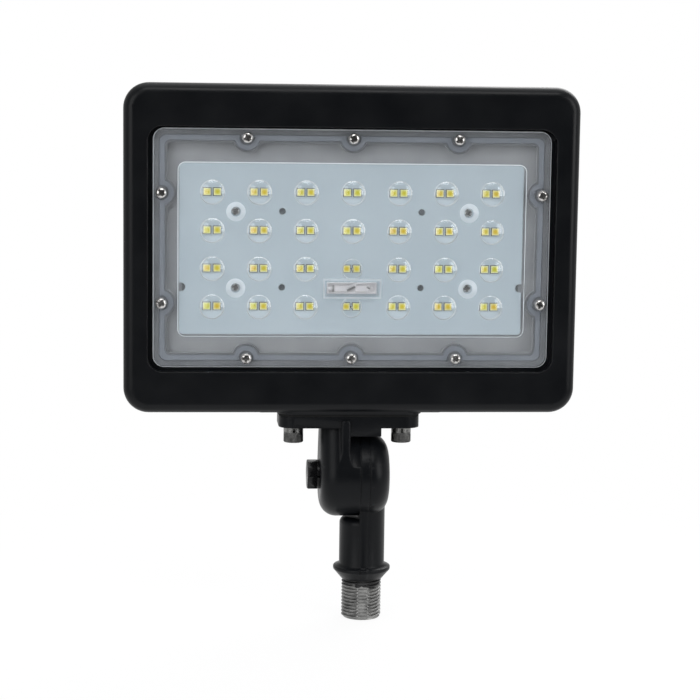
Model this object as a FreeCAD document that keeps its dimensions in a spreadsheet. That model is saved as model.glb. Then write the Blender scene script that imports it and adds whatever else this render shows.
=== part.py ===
import FreeCAD, Part
import math
import os
import types

import Sketcher
from FreeCAD import Placement, Rotation, Vector

# A flood light on a threaded knuckle. The origin is on the thread's axis where the collar
# seats, +Z is up, the light faces -Y and +X is to the right of someone who looks at its face.
# All lengths are in millimetres.
SIZES = {
    # Threaded spigot, collar and stem
    "thread_diameter": 20.955,
    "thread_pitch": 1.814,
    "thread_length": 21.3,
    "thread_depth": 1.0,
    "thread_crest": 0.4,
    "thread_lead_in": 0.3,
    "wireway_radius": 7.0,
    "wireway_top_wall": 3.5,
    "shoulder_step": 0.5,
    "collar_radius": 15.15,
    "collar_rim": 6.5,
    "collar_rim_width": 1.6,
    "collar_height": 7.9,
    "stem_radius": 12.0,
    "stem_length": 25.3,
    "stem_gap": 0.5,
    "stem_round": 3.5,
    "rib_width": 4.2,
    "rib_proud": 0.4,
    # Tilting joint
    "lobe_radius": 22.0,
    "joint_offset": 2.4,
    "upper_width": 20.9,
    "upper_round": 9.0,
    "lower_width": 15.6,
    "lower_round": 10.4,
    "face_gap": 0.5,
    "hub_radius": 7.2,
    "wire_space_radius": 13.5,
    "upper_space_depth": 15.0,
    "lower_space_depth": 11.4,
    "wire_port_radius": 3.4,
    "wire_port_offset": 5.5,
    "seal_inner": 17.0,
    "seal_width": 1.8,
    "seal_groove_depth": 1.5,
    "seal_clearance": 0.1,
    "pivot_radius": 4.75,
    "pivot_clearance": 0.05,
    "pivot_reach": 13.0,
    "pivot_tip_room": 0.5,
    "pivot_head_flats": 14.2,
    "pivot_head_height": 5.2,
    "pivot_head_bevel": 0.2,
    "pivot_washer_radius": 7.7,
    "pivot_washer_thick": 1.2,
    # Flange that carries the head
    "head_offset": 8.5,
    "shelf_clearance": 0.8,
    "shelf_thick": 4.3,
    "shelf_start": 8.2,
    "neck_reach": 8.0,
    "neck_depth": 28.0,
    "neck_rib_width": 4.8,
    "neck_rib_depth": 36.8,
    "neck_rib_drop": 1.8,
    "neck_rib_round": 1.2,
    "neck_port_radius": 5.0,
    "flange_screw_spacing": 57.0,
    "flange_end": 8.3,
    "flange_depth": 32.0,
    "flange_corner": 8.0,
    "flange_thick": 6.0,
    "knuckle_gasket_thick": 1.2,
    "head_pad_height": 1.2,
    "head_pad_margin": 1.0,
    "flange_screw_radius": 3.0,
    "flange_screw_length": 17.0,
    "flange_screw_head_radius": 5.2,
    "flange_screw_head_height": 5.4,
    "flange_socket_flats": 5.0,
    "flange_socket_depth": 3.0,
    "flange_washer_radius": 5.6,
    "flange_washer_thick": 2.0,
    "spring_washer_thick": 2.2,
    "washer_split": 0.9,
    # Lamps and their board
    "led_columns": 7,
    "led_rows": 4,
    "led_pitch_x": 24.0,
    "led_pitch_z": 19.6,
    "led_pair_spacing": 5.1,
    "led_side": 3.9,
    "led_height": 0.7,
    "phosphor_side": 3.3,
    "phosphor_depth": 0.35,
    "board_margin_x": 16.8,
    "board_margin_z": 14.5,
    "board_corner": 2.0,
    "board_thick": 1.6,
    "thermal_pad_thick": 0.4,
    "thermal_pad_margin": 1.5,
    "board_hole_radius": 1.75,
    "board_notch_width": 3.2,
    "board_notch_height": 4.5,
    "connector_width": 25.6,
    "connector_height": 5.8,
    "connector_rise": 3.2,
    "lead_radius": 1.0,
    "lead_spacing": 3.4,
    "lead_plug_in": 1.5,
    "lead_room": 0.5,
    "grommet_wall": 2.8,
    # Lens plate
    "lens_border_x": 13.45,
    "lens_border_z": 17.3,
    "lens_corner": 5.8,
    "lens_thick": 3.0,
    "lens_recess": 2.5,
    "lens_gap_side": 2.5,
    "lens_gap_top": 0.95,
    "lens_gap_bottom": 2.15,
    "lens_screw_inset_x": 4.25,
    "lens_screw_inset_z": 4.6,
    "lens_screw_pitch_x": 54.3,
    "lens_screw_pitch_z": 56.5,
    "panel_margin": 0.9,
    "panel_corner": 4.0,
    "panel_rise": 0.8,
    "dome_radius": 6.0,
    "dome_rise": 1.6,
    "bubble_radius": 4.9,
    "bubble_rise": 2.0,
    "bump_radius": 5.0,
    "bump_rise": 1.2,
    "relief_border": 2.3,
    "relief_wall": 1.4,
    "relief_rise": 0.9,
    # Lens gasket and the channel that it lies in
    "gasket_inset": 3.3,
    "gasket_width": 2.9,
    "gasket_depth": 2.0,
    "gasket_clearance": 0.1,
    "gasket_screw_room": 3.6,
    "channel_wall": 1.0,
    # Die-cast housing
    "bezel_side": 12.5,
    "bezel_top": 21.75,
    "opening_corner": 7.5,
    "head_corner": 13.0,
    "face_round": 5.5,
    "face_reach": 20.0,
    "bezel_wall": 4.5,
    "skirt_wall": 3.5,
    "skirt_depth": 22.0,
    "tray_depth": 4.5,
    "tray_wall": 4.0,
    "floor_thick": 6.0,
    "fin_thick": 2.6,
    "fin_pitch": 10.0,
    "fin_depth": 20.0,
    "fin_slope": 12.0,
    # Driver box at the back of the housing
    "box_width": 104.0,
    "box_height": 114.5,
    "box_corner": 6.0,
    "box_wall": 8.0,
    "box_depth": 22.0,
    "box_gasket_thick": 1.2,
    "cover_thick": 3.8,
    "cover_round": 1.2,
    "wire_hole_radius": 6.0,
    "driver_width": 78.0,
    "driver_height": 72.0,
    "driver_depth": 17.0,
    "driver_corner": 3.0,
    "driver_ear": 9.0,
    "driver_ear_thick": 2.0,
    "driver_screw_spacing": 60.0,
    # Small pan-head screws and their holes
    "screw_radius": 1.5,
    "screw_head_radius": 2.9,
    "screw_head_height": 2.2,
    "screw_crown": 0.9,
    "screw_slot_length": 3.4,
    "screw_slot_width": 0.8,
    "screw_slot_depth": 1.2,
    "screw_tip": 0.4,
    "board_screw_head": 2.1,
    "board_screw_slot": 2.4,
    "lens_screw_grip": 7.0,
    "board_screw_grip": 4.0,
    "driver_screw_grip": 4.0,
    "cover_screw_grip": 8.0,
    "hole_clearance": 0.2,
    "tapped_clearance": 0.05,
    "hole_end_room": 0.5,
}

HEX_SIDES = 6
HEX_CORNER = 2 / math.sqrt(3)
BEVEL_SLOPE = math.sqrt(3)
FLANK_SLOPE = 1 / math.sqrt(3)
RIM_ROUNDING = 0.44
OVERLAP = 0.2
SAME_PLACE = 0.01


class Dim:
    """A size that carries its number and the spreadsheet formula that gives it."""

    def __init__(self, number, text):
        self.number = number
        self.text = text

    def __add__(self, other):
        other = dim(other)
        return Dim(self.number + other.number, f"({self.text} + {other.text})")

    def __radd__(self, other):
        return dim(other) + self

    def __sub__(self, other):
        other = dim(other)
        return Dim(self.number - other.number, f"({self.text} - {other.text})")

    def __rsub__(self, other):
        return dim(other) - self

    def __mul__(self, other):
        other = dim(other)
        return Dim(self.number * other.number, f"({self.text} * {other.text})")

    def __rmul__(self, other):
        return dim(other) * self

    def __truediv__(self, other):
        other = dim(other)
        return Dim(self.number / other.number, f"({self.text} / {other.text})")

    def __neg__(self):
        return 0 - self


def root_of(value):
    """Square root of a size."""
    return Dim(math.sqrt(value.number), f"sqrt({value.text})")


def dim(value):
    """Give a plain number the same form as a size from the sheet."""
    if isinstance(value, Dim):
        return value
    return Dim(value, f"({value})")


doc = FreeCAD.newDocument("FloodLight")
sheet = doc.addObject("Spreadsheet::Sheet", "Sizes")
for row, (size_name, size_value) in enumerate(SIZES.items(), 1):
    sheet.set(f"A{row}", size_name)
    sheet.set(f"B{row}", str(size_value))
    sheet.setAlias(f"B{row}", size_name)
doc.recompute()
s = types.SimpleNamespace(**{name: Dim(sheet.get(name), f"Sizes.{name}") for name in SIZES})

# Places on the joint: its two halves meet a little to the left of the thread's axis
meet_x = -s.joint_offset
stem_top = s.collar_height + s.stem_length
axis_z = stem_top + s.stem_gap + s.lobe_radius
lobe_face = meet_x - s.face_gap
lobe_end = meet_x - s.upper_width
disc_end = meet_x + s.lower_width
pivot_tip = meet_x + s.pivot_reach
washer_end = lobe_end - s.pivot_washer_thick
pivot_bore = s.pivot_radius + s.pivot_clearance
seal_outer = s.seal_inner + s.seal_width

# Heights from the joint up to the head
flange_bottom = axis_z + s.lobe_radius + s.shelf_clearance + s.shelf_thick
flange_top = flange_bottom + s.flange_thick
neck_top = flange_bottom + s.flange_thick / 2
pad_bottom = flange_top + s.knuckle_gasket_thick
head_bottom = pad_bottom + s.head_pad_height
flange_length = s.flange_screw_spacing + 2 * s.flange_end
flat_washer_bottom = flange_bottom - s.flange_washer_thick
screw_seat = flat_washer_bottom - s.spring_washer_thick
flange_hole = s.flange_screw_radius + s.hole_clearance

# Outlines of the head, each built outwards from the lamp grid
columns = round(s.led_columns.number)
rows = round(s.led_rows.number)
board_width = (s.led_columns - 1) * s.led_pitch_x + 2 * s.board_margin_x
board_height = (s.led_rows - 1) * s.led_pitch_z + 2 * s.board_margin_z
lens_width = board_width + 2 * s.lens_border_x
lens_height = board_height + 2 * s.lens_border_z
opening_width = lens_width + 2 * s.lens_gap_side
opening_height = lens_height + s.lens_gap_top + s.lens_gap_bottom
head_width = opening_width + 2 * s.bezel_side
head_height = opening_height + 2 * s.bezel_top
head_x = -s.head_offset
head_z = head_bottom + head_height / 2
head_top = head_bottom + head_height
lens_z = head_z + (s.lens_gap_bottom - s.lens_gap_top) / 2
connector_z = head_z - s.led_pitch_z
grommet_inner = s.lead_spacing / 2 + s.lead_radius + s.lead_room
grommet_outer = grommet_inner + s.grommet_wall
box_z = head_bottom + s.box_height / 2
box_top = head_bottom + s.box_height
box_inner_width = s.box_width - 2 * s.box_wall
box_inner_height = s.box_height - 2 * s.box_wall
box_inner_corner = s.box_corner / 2

# Depths of the head, from its face to its back
face_y = -s.face_reach
bezel_back = face_y + s.bezel_wall
lens_front = face_y + s.lens_recess
panel_front = lens_front - s.panel_rise
lens_back = lens_front + s.lens_thick
tray_floor = lens_back + s.tray_depth
board_back = tray_floor - s.thermal_pad_thick
board_front = board_back - s.board_thick
lamp_top = board_front - s.led_height
connector_front = board_front - s.connector_rise
floor_back = tray_floor + s.floor_thick
skirt_back = face_y + s.skirt_depth
fin_back = floor_back + s.fin_depth
box_back = floor_back + s.box_depth
cover_front = box_back + s.box_gasket_thick
cover_back = cover_front + s.cover_thick

AXIS = {"x": Vector(1, 0, 0), "y": Vector(0, 1, 0), "z": Vector(0, 0, 1)}
PLANE_ROLE = {"x": "YZ_Plane", "y": "XZ_Plane", "z": "XY_Plane"}
# Turns that point a part's own +Z along an axis
POINT_TO = {
    "+x": Rotation(AXIS["y"], 90),
    "-x": Rotation(AXIS["y"], -90),
    "+y": Rotation(AXIS["x"], -90),
    "-y": Rotation(AXIS["x"], 90),
    "+z": Rotation(),
    "-z": Rotation(AXIS["x"], 180),
}


def bind(thing, name, size):
    """Tie one property to the sheet."""
    thing.setExpression(name, dim(size).text)


def place(thing, at, rotation=None):
    """Put a piece at a place that follows the sheet."""
    thing.Placement = Placement(Vector(), rotation or Rotation())
    for letter, where in zip("xyz", at):
        bind(thing, f"Placement.Base.{letter}", where)


def box(name, x, y, z):
    """A block between a start and an end on each axis."""
    block = doc.addObject("Part::Box", name)
    for side, (start, end) in zip(("Length", "Width", "Height"), (x, y, z)):
        bind(block, side, dim(end) - start)
    place(block, (x[0], y[0], z[0]))
    return block


def rod(name, direction, at, radius, length):
    """A round bar that starts at a place and runs along one direction."""
    bar = doc.addObject("Part::Cylinder", name)
    bind(bar, "Radius", radius)
    bind(bar, "Height", length)
    place(bar, at, POINT_TO[direction])
    return bar


def tube(name, direction, at, inner, outer, length):
    """A round bar with a bore."""
    return cut(name, rod(f"{name}_outside", direction, at, outer, length),
               rod(f"{name}_bore", direction, at, inner, length))


def fuse(name, *pieces):
    """Join pieces into one solid."""
    joined = doc.addObject("Part::MultiFuse", name)
    joined.Shapes = list(pieces)
    joined.Refine = True
    return joined


def group(name, pieces):
    """Keep separate solids together under one name."""
    together = doc.addObject("Part::Compound", name)
    together.Links = list(pieces)
    return together


def cut(name, base, *tools):
    """Take tools that lie apart from each other out of a piece."""
    left = doc.addObject("Part::Cut", name)
    left.Base = base
    left.Tool = tools[0] if len(tools) == 1 else group(f"{name}_tools", tools)
    left.Refine = True
    return left


def common(name, first, second):
    """Keep what two pieces share."""
    shared = doc.addObject("Part::Common", name)
    shared.Base = first
    shared.Tool = second
    return shared


def copies(name, master, places, rotation=None):
    """A group of copies of one piece, one at each place."""
    placed = []
    for number, at in enumerate(places, 1):
        copy = group(f"{name}_{number}", [master])
        place(copy, at, rotation)
        placed.append(copy)
    return group(name, placed)


def rounded(name, base, radius, wanted):
    """Round the edges that the test picks out."""
    doc.recompute()
    result = doc.addObject("Part::Fillet", name)
    result.Base = base
    picked = [number for number, edge in enumerate(base.Shape.Edges, 1) if wanted(edge)]
    result.Edges = [(number, radius.number, radius.number) for number in picked]
    return result


def lies_at(edge, letter, where):
    """Tell whether an edge lies whole in one plane across an axis."""
    low = getattr(edge.BoundBox, f"{letter.upper()}Min")
    high = getattr(edge.BoundBox, f"{letter.upper()}Max")
    return abs(low - where.number) < SAME_PLACE and abs(high - where.number) < SAME_PLACE


def new_body(name, at, rotation=None):
    """A body with its own origin, put at a place."""
    body = doc.addObject("PartDesign::Body", name)
    place(body, at, rotation)
    return body


def new_sketch(body, name, normal):
    """A sketch on one of the body's origin planes."""
    sketch = body.newObject("Sketcher::SketchObject", name)
    plane = next(item for item in body.Origin.OriginFeatures if item.Role == PLANE_ROLE[normal])
    sketch.AttachmentSupport = [(plane, "")]
    sketch.MapMode = "FlatFace"
    return sketch


def hold(sketch, kind, where, size):
    """Add one dimension to a sketch and tie it to the sheet."""
    number = sketch.addConstraint(Sketcher.Constraint(kind, *where, size.number))
    sketch.setExpression(f"Constraints[{number}]", size.text)


def hold_point(sketch, geometry, position, across, up):
    """Hold one point of a sketch by its two distances from the sketch's origin."""
    hold(sketch, "DistanceX", (-1, 1, geometry, position), dim(across))
    hold(sketch, "DistanceY", (-1, 1, geometry, position), dim(up))


def draw_polygon(sketch, corners):
    """A closed outline of straight edges through the corners."""
    points = [Vector(dim(across).number, dim(up).number, 0) for across, up in corners]
    first = len(sketch.Geometry)
    for start, end in zip(points, points[1:] + points[:1]):
        sketch.addGeometry(Part.LineSegment(start, end))
    for number, (across, up) in enumerate(corners):
        before = first + (number - 1) % len(corners)
        sketch.addConstraint(Sketcher.Constraint("Coincident", before, 2, first + number, 1))
        hold_point(sketch, first + number, 1, across, up)


def draw_rounded(sketch, width, height, radius):
    """A rectangle with round corners, centred on the sketch's origin."""
    across = width / 2 - radius
    up = height / 2 - radius
    first = len(sketch.Geometry)
    arcs = []
    for number, (right, top) in enumerate(((1, 1), (-1, 1), (-1, -1), (1, -1))):
        centre = Vector(right * across.number, top * up.number, 0)
        start = number * math.pi / 2
        circle = Part.Circle(centre, AXIS["z"], radius.number)
        arcs.append(Part.ArcOfCircle(circle, start, start + math.pi / 2))
        sketch.addGeometry(arcs[-1])
        hold_point(sketch, first + number, 3, right * across, top * up)
        hold(sketch, "Radius", (first + number,), radius)
    for number, arc in enumerate(arcs):
        after = (number + 1) % len(arcs)
        line = sketch.addGeometry(Part.LineSegment(arc.EndPoint, arcs[after].StartPoint))
        sketch.addConstraint(Sketcher.Constraint("Tangent", first + number, 2, line, 1))
        sketch.addConstraint(Sketcher.Constraint("Tangent", line, 2, first + after, 1))


def draw_circle(sketch, across, up, radius):
    """A circle held by its centre and its radius."""
    centre = Vector(dim(across).number, dim(up).number, 0)
    number = sketch.addGeometry(Part.Circle(centre, AXIS["z"], radius.number))
    hold_point(sketch, number, 3, across, up)
    hold(sketch, "Radius", (number,), radius)


def pad(body, sketch, normal, length):
    """Pad a sketch towards the positive end of an axis."""
    feature = body.newObject("PartDesign::Pad", f"{body.Name}_pad")
    feature.Profile = sketch
    feature.Reversed = normal == "y"
    bind(feature, "Length", length)
    return body


def plate(name, normal, at, outline, thickness, holes=(), window=None):
    """A flat plate with round corners; holes are (across, up, radius) from its centre."""
    body = new_body(name, at)
    sketch = new_sketch(body, f"{name}_outline", normal)
    draw_rounded(sketch, *outline)
    for hole in holes:
        draw_circle(sketch, *hole)
    if window:
        draw_rounded(sketch, *window)
    return pad(body, sketch, normal, thickness)


def prism(name, normal, at, corners, length):
    """A straight-edged outline padded along one axis."""
    body = new_body(name, at)
    sketch = new_sketch(body, f"{name}_outline", normal)
    draw_polygon(sketch, corners)
    return pad(body, sketch, normal, length)


def turned(name, at, profile, direction="+z"):
    """A turned piece; its profile is (radius, height) from its axis."""
    body = new_body(name, at, POINT_TO[direction])
    sketch = new_sketch(body, f"{name}_profile", "y")
    draw_polygon(sketch, profile)
    feature = body.newObject("PartDesign::Revolution", f"{name}_turn")
    feature.Profile = sketch
    feature.ReferenceAxis = (sketch, ["V_Axis"])
    feature.Angle = 360
    return body


def cap(name, at, radius, rise, sink):
    """A shallow dome that faces the front; its base circle has the radius, sunk a little deeper."""
    ball = doc.addObject("Part::Sphere", name)
    curve = (radius * radius + rise * rise) / (2 * rise)
    bind(ball, "Radius", curve)
    ball.setExpression("Angle1", f"asin(({(curve - rise - sink).text}) / ({curve.text}))")
    ball.Angle2 = 90
    x, y, z = at
    place(ball, (x, y + curve - rise, z), POINT_TO["-y"])
    return ball


def pan_screw(name, length, head_radius, slot_length):
    """A small pan-head screw with a cross recess, head up, seated at its own origin."""
    blank = turned(f"{name}_blank", (0, 0, 0), [
        (0, -length),
        (s.screw_radius - s.screw_tip, -length),
        (s.screw_radius, s.screw_tip - length),
        (s.screw_radius, 0),
        (head_radius, 0),
        (head_radius, s.screw_head_height - s.screw_crown),
        (head_radius - s.screw_crown, s.screw_head_height),
        (0, s.screw_head_height),
    ])
    long = (-slot_length / 2, slot_length / 2)
    thin = (-s.screw_slot_width / 2, s.screw_slot_width / 2)
    deep = (s.screw_head_height - s.screw_slot_depth, s.screw_head_height + OVERLAP)
    cross = fuse(f"{name}_cross", box(f"{name}_slot_a", long, thin, deep),
                 box(f"{name}_slot_b", thin, long, deep))
    return cut(f"{name}_master", blank, cross)


# Places of the fasteners and lamps
def lens_screw_places():
    """The screws round the lens, from its centre: three above, three below, two on each side."""
    half_width = lens_width / 2 - s.lens_screw_inset_x
    half_height = lens_height / 2 - s.lens_screw_inset_z
    rows_of_three = [(s.lens_screw_pitch_x * step, half_height * side)
                     for side in (1, -1) for step in (-1, 0, 1)]
    sides = [(half_width * side, s.lens_screw_pitch_z * step)
             for side in (1, -1) for step in (-0.5, 0.5)]
    return rows_of_three + sides


def between_lamps(columns_apart):
    """Four places between the lamp rows, a number of columns apart and two rows apart."""
    return [(s.led_pitch_x * columns_apart * side / 2, s.led_pitch_z * up)
            for side in (1, -1) for up in (1, -1)]


def lamp_pairs():
    """The centre of each pair of lamps, from the board's centre."""
    return [(s.led_pitch_x * (column - (columns - 1) / 2), s.led_pitch_z * (row - (rows - 1) / 2))
            for row in range(rows) for column in range(columns)]


def lamps():
    """The centre of each lamp, from the board's centre."""
    return [(across + s.led_pair_spacing * side, up) for across, up in lamp_pairs() for side in (-0.5, 0.5)]


def cover_screw_places():
    """The screws of the rear cover, from its centre: one in each corner and one on each side."""
    half_width = s.box_width / 2 - s.box_wall / 2
    half_height = s.box_height / 2 - s.box_wall / 2
    return [(half_width * side, half_height * up) for side in (1, -1) for up in (1, 0, -1)]


def driver_screw_places():
    """The screws through the driver's ears, from its centre."""
    half_height = s.driver_height / 2 + s.driver_ear / 2
    return [(s.driver_screw_spacing * side / 2, half_height * up) for side in (1, -1) for up in (1, -1)]


def on_head(places, y, z=None):
    """Turn places on the head's face into places in space at one depth."""
    level = head_z if z is None else z
    return [(head_x + across, y, level + up) for across, up in places]


BOARD_SCREW_COLUMNS = 5
BOARD_HOLE_COLUMNS = 3
board_screw_places = between_lamps(BOARD_SCREW_COLUMNS)
flange_screw_places = [(head_x + s.flange_screw_spacing * side / 2, 0) for side in (1, -1)]
lead_places = {"lead_red": s.lead_spacing / 2, "lead_black": -s.lead_spacing / 2}


def lens_blank(name, inset, screw_room, y, depth):
    """The lens's outline drawn in by an inset, with a round bite at every lens screw."""
    corner = s.lens_corner - s.lens_corner * inset / (inset + s.lens_corner)
    body = plate(f"{name}_outline", "y", (head_x, y, lens_z),
                 (lens_width - 2 * inset, lens_height - 2 * inset, corner), depth)
    bites = [rod(f"{name}_bite_{number}", "+y", (x, y - OVERLAP, z), screw_room, depth + 2 * OVERLAP)
             for number, (x, y, z) in enumerate(on_head(lens_screw_places(), y, lens_z), 1)]
    return cut(name, body, *bites)


def lens_ring(name, widen, y, depth):
    """The gasket's ring, which passes inside every lens screw, widened by a clearance."""
    outside = lens_blank(f"{name}_outside", s.gasket_inset - widen, s.gasket_screw_room - widen, y, depth)
    inside = lens_blank(f"{name}_inside", s.gasket_inset + s.gasket_width + widen,
                        s.gasket_screw_room + s.gasket_width + widen, y, depth)
    return cut(name, outside, inside)


def lens_gasket():
    """Soft ring in the channel behind the lens."""
    return lens_ring("lens_gasket", dim(0), lens_back, s.gasket_depth)


def fin_corners(bottom, top):
    """Side view of a cooling fin from the bezel to its back, sloped at its free ends."""
    return [(bezel_back, bottom), (skirt_back, bottom), (fin_back, bottom + s.fin_slope),
            (fin_back, top - s.fin_slope), (skirt_back, top), (bezel_back, top)]


def fin_places(start, count):
    """Places of fins on both sides of the head's middle, the first half a pitch out from a start."""
    middle = head_x - s.fin_thick / 2
    return [(middle + side * (start + s.fin_pitch * (number + 0.5)), 0, 0)
            for number in range(count) for side in (1, -1)]


def cooling_fins():
    """Upright fins beside the driver box, full height, and above it, short."""
    inner_bottom = head_bottom + s.skirt_wall / 2
    inner_top = head_top - s.skirt_wall / 2
    full = prism("fin_full", "x", (0, 0, 0), fin_corners(inner_bottom, inner_top), s.fin_thick)
    short_corners = [(bezel_back, box_top - s.box_wall / 2), (skirt_back, box_top - s.box_wall / 2),
                     (skirt_back, box_top), (fin_back, box_top), (fin_back, inner_top - s.fin_slope),
                     (skirt_back, inner_top), (bezel_back, inner_top)]
    short = prism("fin_short", "x", (0, 0, 0), short_corners, s.fin_thick)
    beside = (head_width - s.box_width) / 2 - s.skirt_wall
    beside_count = int(beside.number / s.fin_pitch.number)
    above_count = int(s.box_width.number / s.fin_pitch.number / 2)
    return (copies("fins_beside", full, fin_places(s.box_width / 2, beside_count)),
            copies("fins_above", short, fin_places(dim(0), above_count)))


def head_pad():
    """Flat seat for the flange; its root fills the round of the bezel and ends with the skirt."""
    length = flange_length + 2 * s.head_pad_margin
    depth = s.flange_depth + 2 * s.head_pad_margin
    corner = s.flange_corner + s.head_pad_margin
    block = plate("pad_block", "z", (head_x, 0, pad_bottom), (length, depth, corner),
                  s.head_pad_height + s.skirt_wall)
    behind_skirt = box("pad_clear", (head_x - length, head_x + length), (skirt_back, skirt_back + depth),
                       (head_bottom, head_bottom + s.skirt_wall + OVERLAP))
    return cut("head_pad", block, behind_skirt)


def housing():
    """Die-cast tray with a rounded bezel, a skirt, cooling fins and the driver box behind."""
    centre = (head_x, face_y, head_z)
    blank = plate("bezel_blank", "y", centre, (head_width, head_height, s.head_corner), s.skirt_depth)
    bezel = rounded("bezel_rounded", blank, s.face_round, lambda edge: lies_at(edge, "y", face_y))
    hollow = plate("skirt_hollow", "y", (head_x, bezel_back, head_z),
                   (head_width - 2 * s.skirt_wall, head_height - 2 * s.skirt_wall,
                    s.head_corner - s.skirt_wall), s.skirt_depth)
    skirt = cut("skirt", bezel, hollow)
    tray = plate("tray_block", "y", (head_x, bezel_back - OVERLAP, head_z),
                 (opening_width + 2 * s.tray_wall, opening_height + 2 * s.tray_wall,
                  s.opening_corner + s.tray_wall), floor_back - bezel_back + OVERLAP)
    driver_box = plate("box_block", "y", (head_x, bezel_back - OVERLAP, box_z),
                       (s.box_width, s.box_height, s.box_corner), box_back - bezel_back + OVERLAP)
    casting = fuse("casting", skirt, tray, driver_box, head_pad(), *cooling_fins())
    room = plate("box_room", "y", (head_x, floor_back, box_z),
                 (box_inner_width, box_inner_height, box_inner_corner), s.fin_depth + s.box_depth)
    opening = plate("lens_opening", "y", (head_x, face_y - OVERLAP, head_z),
                    (opening_width, opening_height, s.opening_corner), lens_back - face_y + OVERLAP)
    channel = lens_ring("gasket_channel", s.gasket_clearance, lens_back - OVERLAP,
                        s.gasket_depth + s.gasket_clearance + OVERLAP)
    inset = s.gasket_inset + s.gasket_width + s.channel_wall
    tray_room = lens_blank("tray_room", inset, s.gasket_screw_room + s.gasket_width + s.channel_wall,
                           lens_back - OVERLAP, s.tray_depth + OVERLAP)
    tapped = s.screw_radius + s.tapped_clearance
    drill = []
    for name, places, y, level, grip, direction in (
            ("lens", lens_screw_places(), lens_back, lens_z, s.lens_screw_grip, "+y"),
            ("board", board_screw_places, tray_floor, head_z, s.board_screw_grip, "+y"),
            ("driver", driver_screw_places(), floor_back, box_z, s.driver_screw_grip, "-y"),
            ("cover", cover_screw_places(), box_back, box_z, s.cover_screw_grip, "-y")):
        back_off = -OVERLAP if direction == "+y" else OVERLAP
        for number, at in enumerate(on_head(places, y + back_off, level), 1):
            drill.append(rod(f"{name}_tap_{number}", direction, at, tapped, grip + s.hole_end_room + OVERLAP))
    tap_depth = screw_seat + s.flange_screw_length + s.hole_end_room - pad_bottom
    for number, (x, y) in enumerate(flange_screw_places, 1):
        drill.append(rod(f"flange_tap_{number}", "+z", (x, y, pad_bottom - OVERLAP),
                         s.flange_screw_radius + s.tapped_clearance, tap_depth + OVERLAP))
    wire_hole = rod("wire_hole", "+z", (head_x, 0, pad_bottom - OVERLAP), s.wire_hole_radius,
                    s.head_pad_height + s.box_wall + 2 * OVERLAP)
    lead_hole = rod("grommet_hole", "+y", (head_x, tray_floor - OVERLAP, connector_z), grommet_outer,
                    s.floor_thick + 2 * OVERLAP)
    emptied = cut("housing_emptied", casting, fuse("housing_room", opening, tray_room, room), channel)
    return cut("housing", emptied, wire_hole, lead_hole, *drill)


def lens_cover():
    """Clear plate with a raised panel, a dome over each pair of lamps and a hollow behind each dome."""
    hole = s.screw_radius + s.hole_clearance
    flange = plate("lens_flange", "y", (head_x, lens_front, lens_z), (lens_width, lens_height, s.lens_corner),
                   s.lens_thick, [(across, up, hole) for across, up in lens_screw_places()])
    panel = plate("lens_panel", "y", (head_x, panel_front, head_z),
                  (board_width + 2 * s.panel_margin, board_height + 2 * s.panel_margin, s.panel_corner),
                  s.panel_rise + OVERLAP)
    sink = dim(OVERLAP)
    domes = [cap(f"lens_dome_{number}", at, s.dome_radius, s.dome_rise, sink)
             for number, at in enumerate(on_head(lamp_pairs(), panel_front), 1)]
    bumps = [cap(f"lens_bump_{number}", at, s.bump_radius, s.bump_rise, sink)
             for number, at in enumerate(on_head(board_screw_places, panel_front), 1)]
    relief_half_width = s.connector_width / 2 + s.relief_border
    relief_half_height = s.connector_height / 2 + s.relief_border
    relief = box("lens_relief", (head_x - relief_half_width, head_x + relief_half_width),
                 (panel_front - s.relief_rise, lens_front),
                 (connector_z - relief_half_height, connector_z + relief_half_height))
    front = fuse("lens_front", flange, panel, relief, *domes, *bumps)
    bubbles = [cap(f"lens_bubble_{number}", at, s.bubble_radius, s.bubble_rise, sink)
               for number, at in enumerate(on_head(lamp_pairs(), lens_back), 1)]
    head_rooms = [cap(f"lens_head_room_{number}", at, s.bump_radius - s.relief_wall / 2, s.bump_rise, sink)
                  for number, at in enumerate(on_head(board_screw_places, lens_back), 1)]
    slack = s.relief_wall / 2
    socket = box("lens_socket",
                 (head_x - s.connector_width / 2 - slack, head_x + s.connector_width / 2 + slack),
                 (connector_front - slack, lens_back + OVERLAP),
                 (connector_z - s.connector_height / 2 - slack, connector_z + s.connector_height / 2 + slack))
    return cut("lens_cover", front, socket, *bubbles, *head_rooms)


def led_board():
    """Aluminium-backed circuit board with screw holes, spare holes, lead holes and side notches."""
    screw_hole = s.screw_radius + s.hole_clearance
    holes = [(across, up, screw_hole) for across, up in board_screw_places]
    holes += [(across, up, s.board_hole_radius) for across, up in between_lamps(BOARD_HOLE_COLUMNS)]
    holes += [(across, -s.led_pitch_z, s.lead_radius + s.hole_clearance) for across in lead_places.values()]
    blank = plate("board_blank", "y", (head_x, board_front, head_z),
                  (board_width, board_height, s.board_corner), s.board_thick, holes)
    end_radius = s.board_notch_height / 2
    through = (board_front - OVERLAP, board_back + OVERLAP)
    notches = []
    for side in (1, -1):
        end_x = head_x + (board_width / 2 - s.board_notch_width + end_radius) * side
        outer_x = end_x + 2 * end_radius * side
        slot = box(f"notch_slot_{2 - side}", (end_x, outer_x) if side > 0 else (outer_x, end_x), through,
                   (connector_z - end_radius, connector_z + end_radius))
        end = rod(f"notch_end_{2 - side}", "+y", (end_x, through[0], connector_z), end_radius,
                  through[1] - through[0])
        notches.append(fuse(f"board_notch_{2 - side}", slot, end))
    return cut("led_board", blank, *notches)


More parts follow.
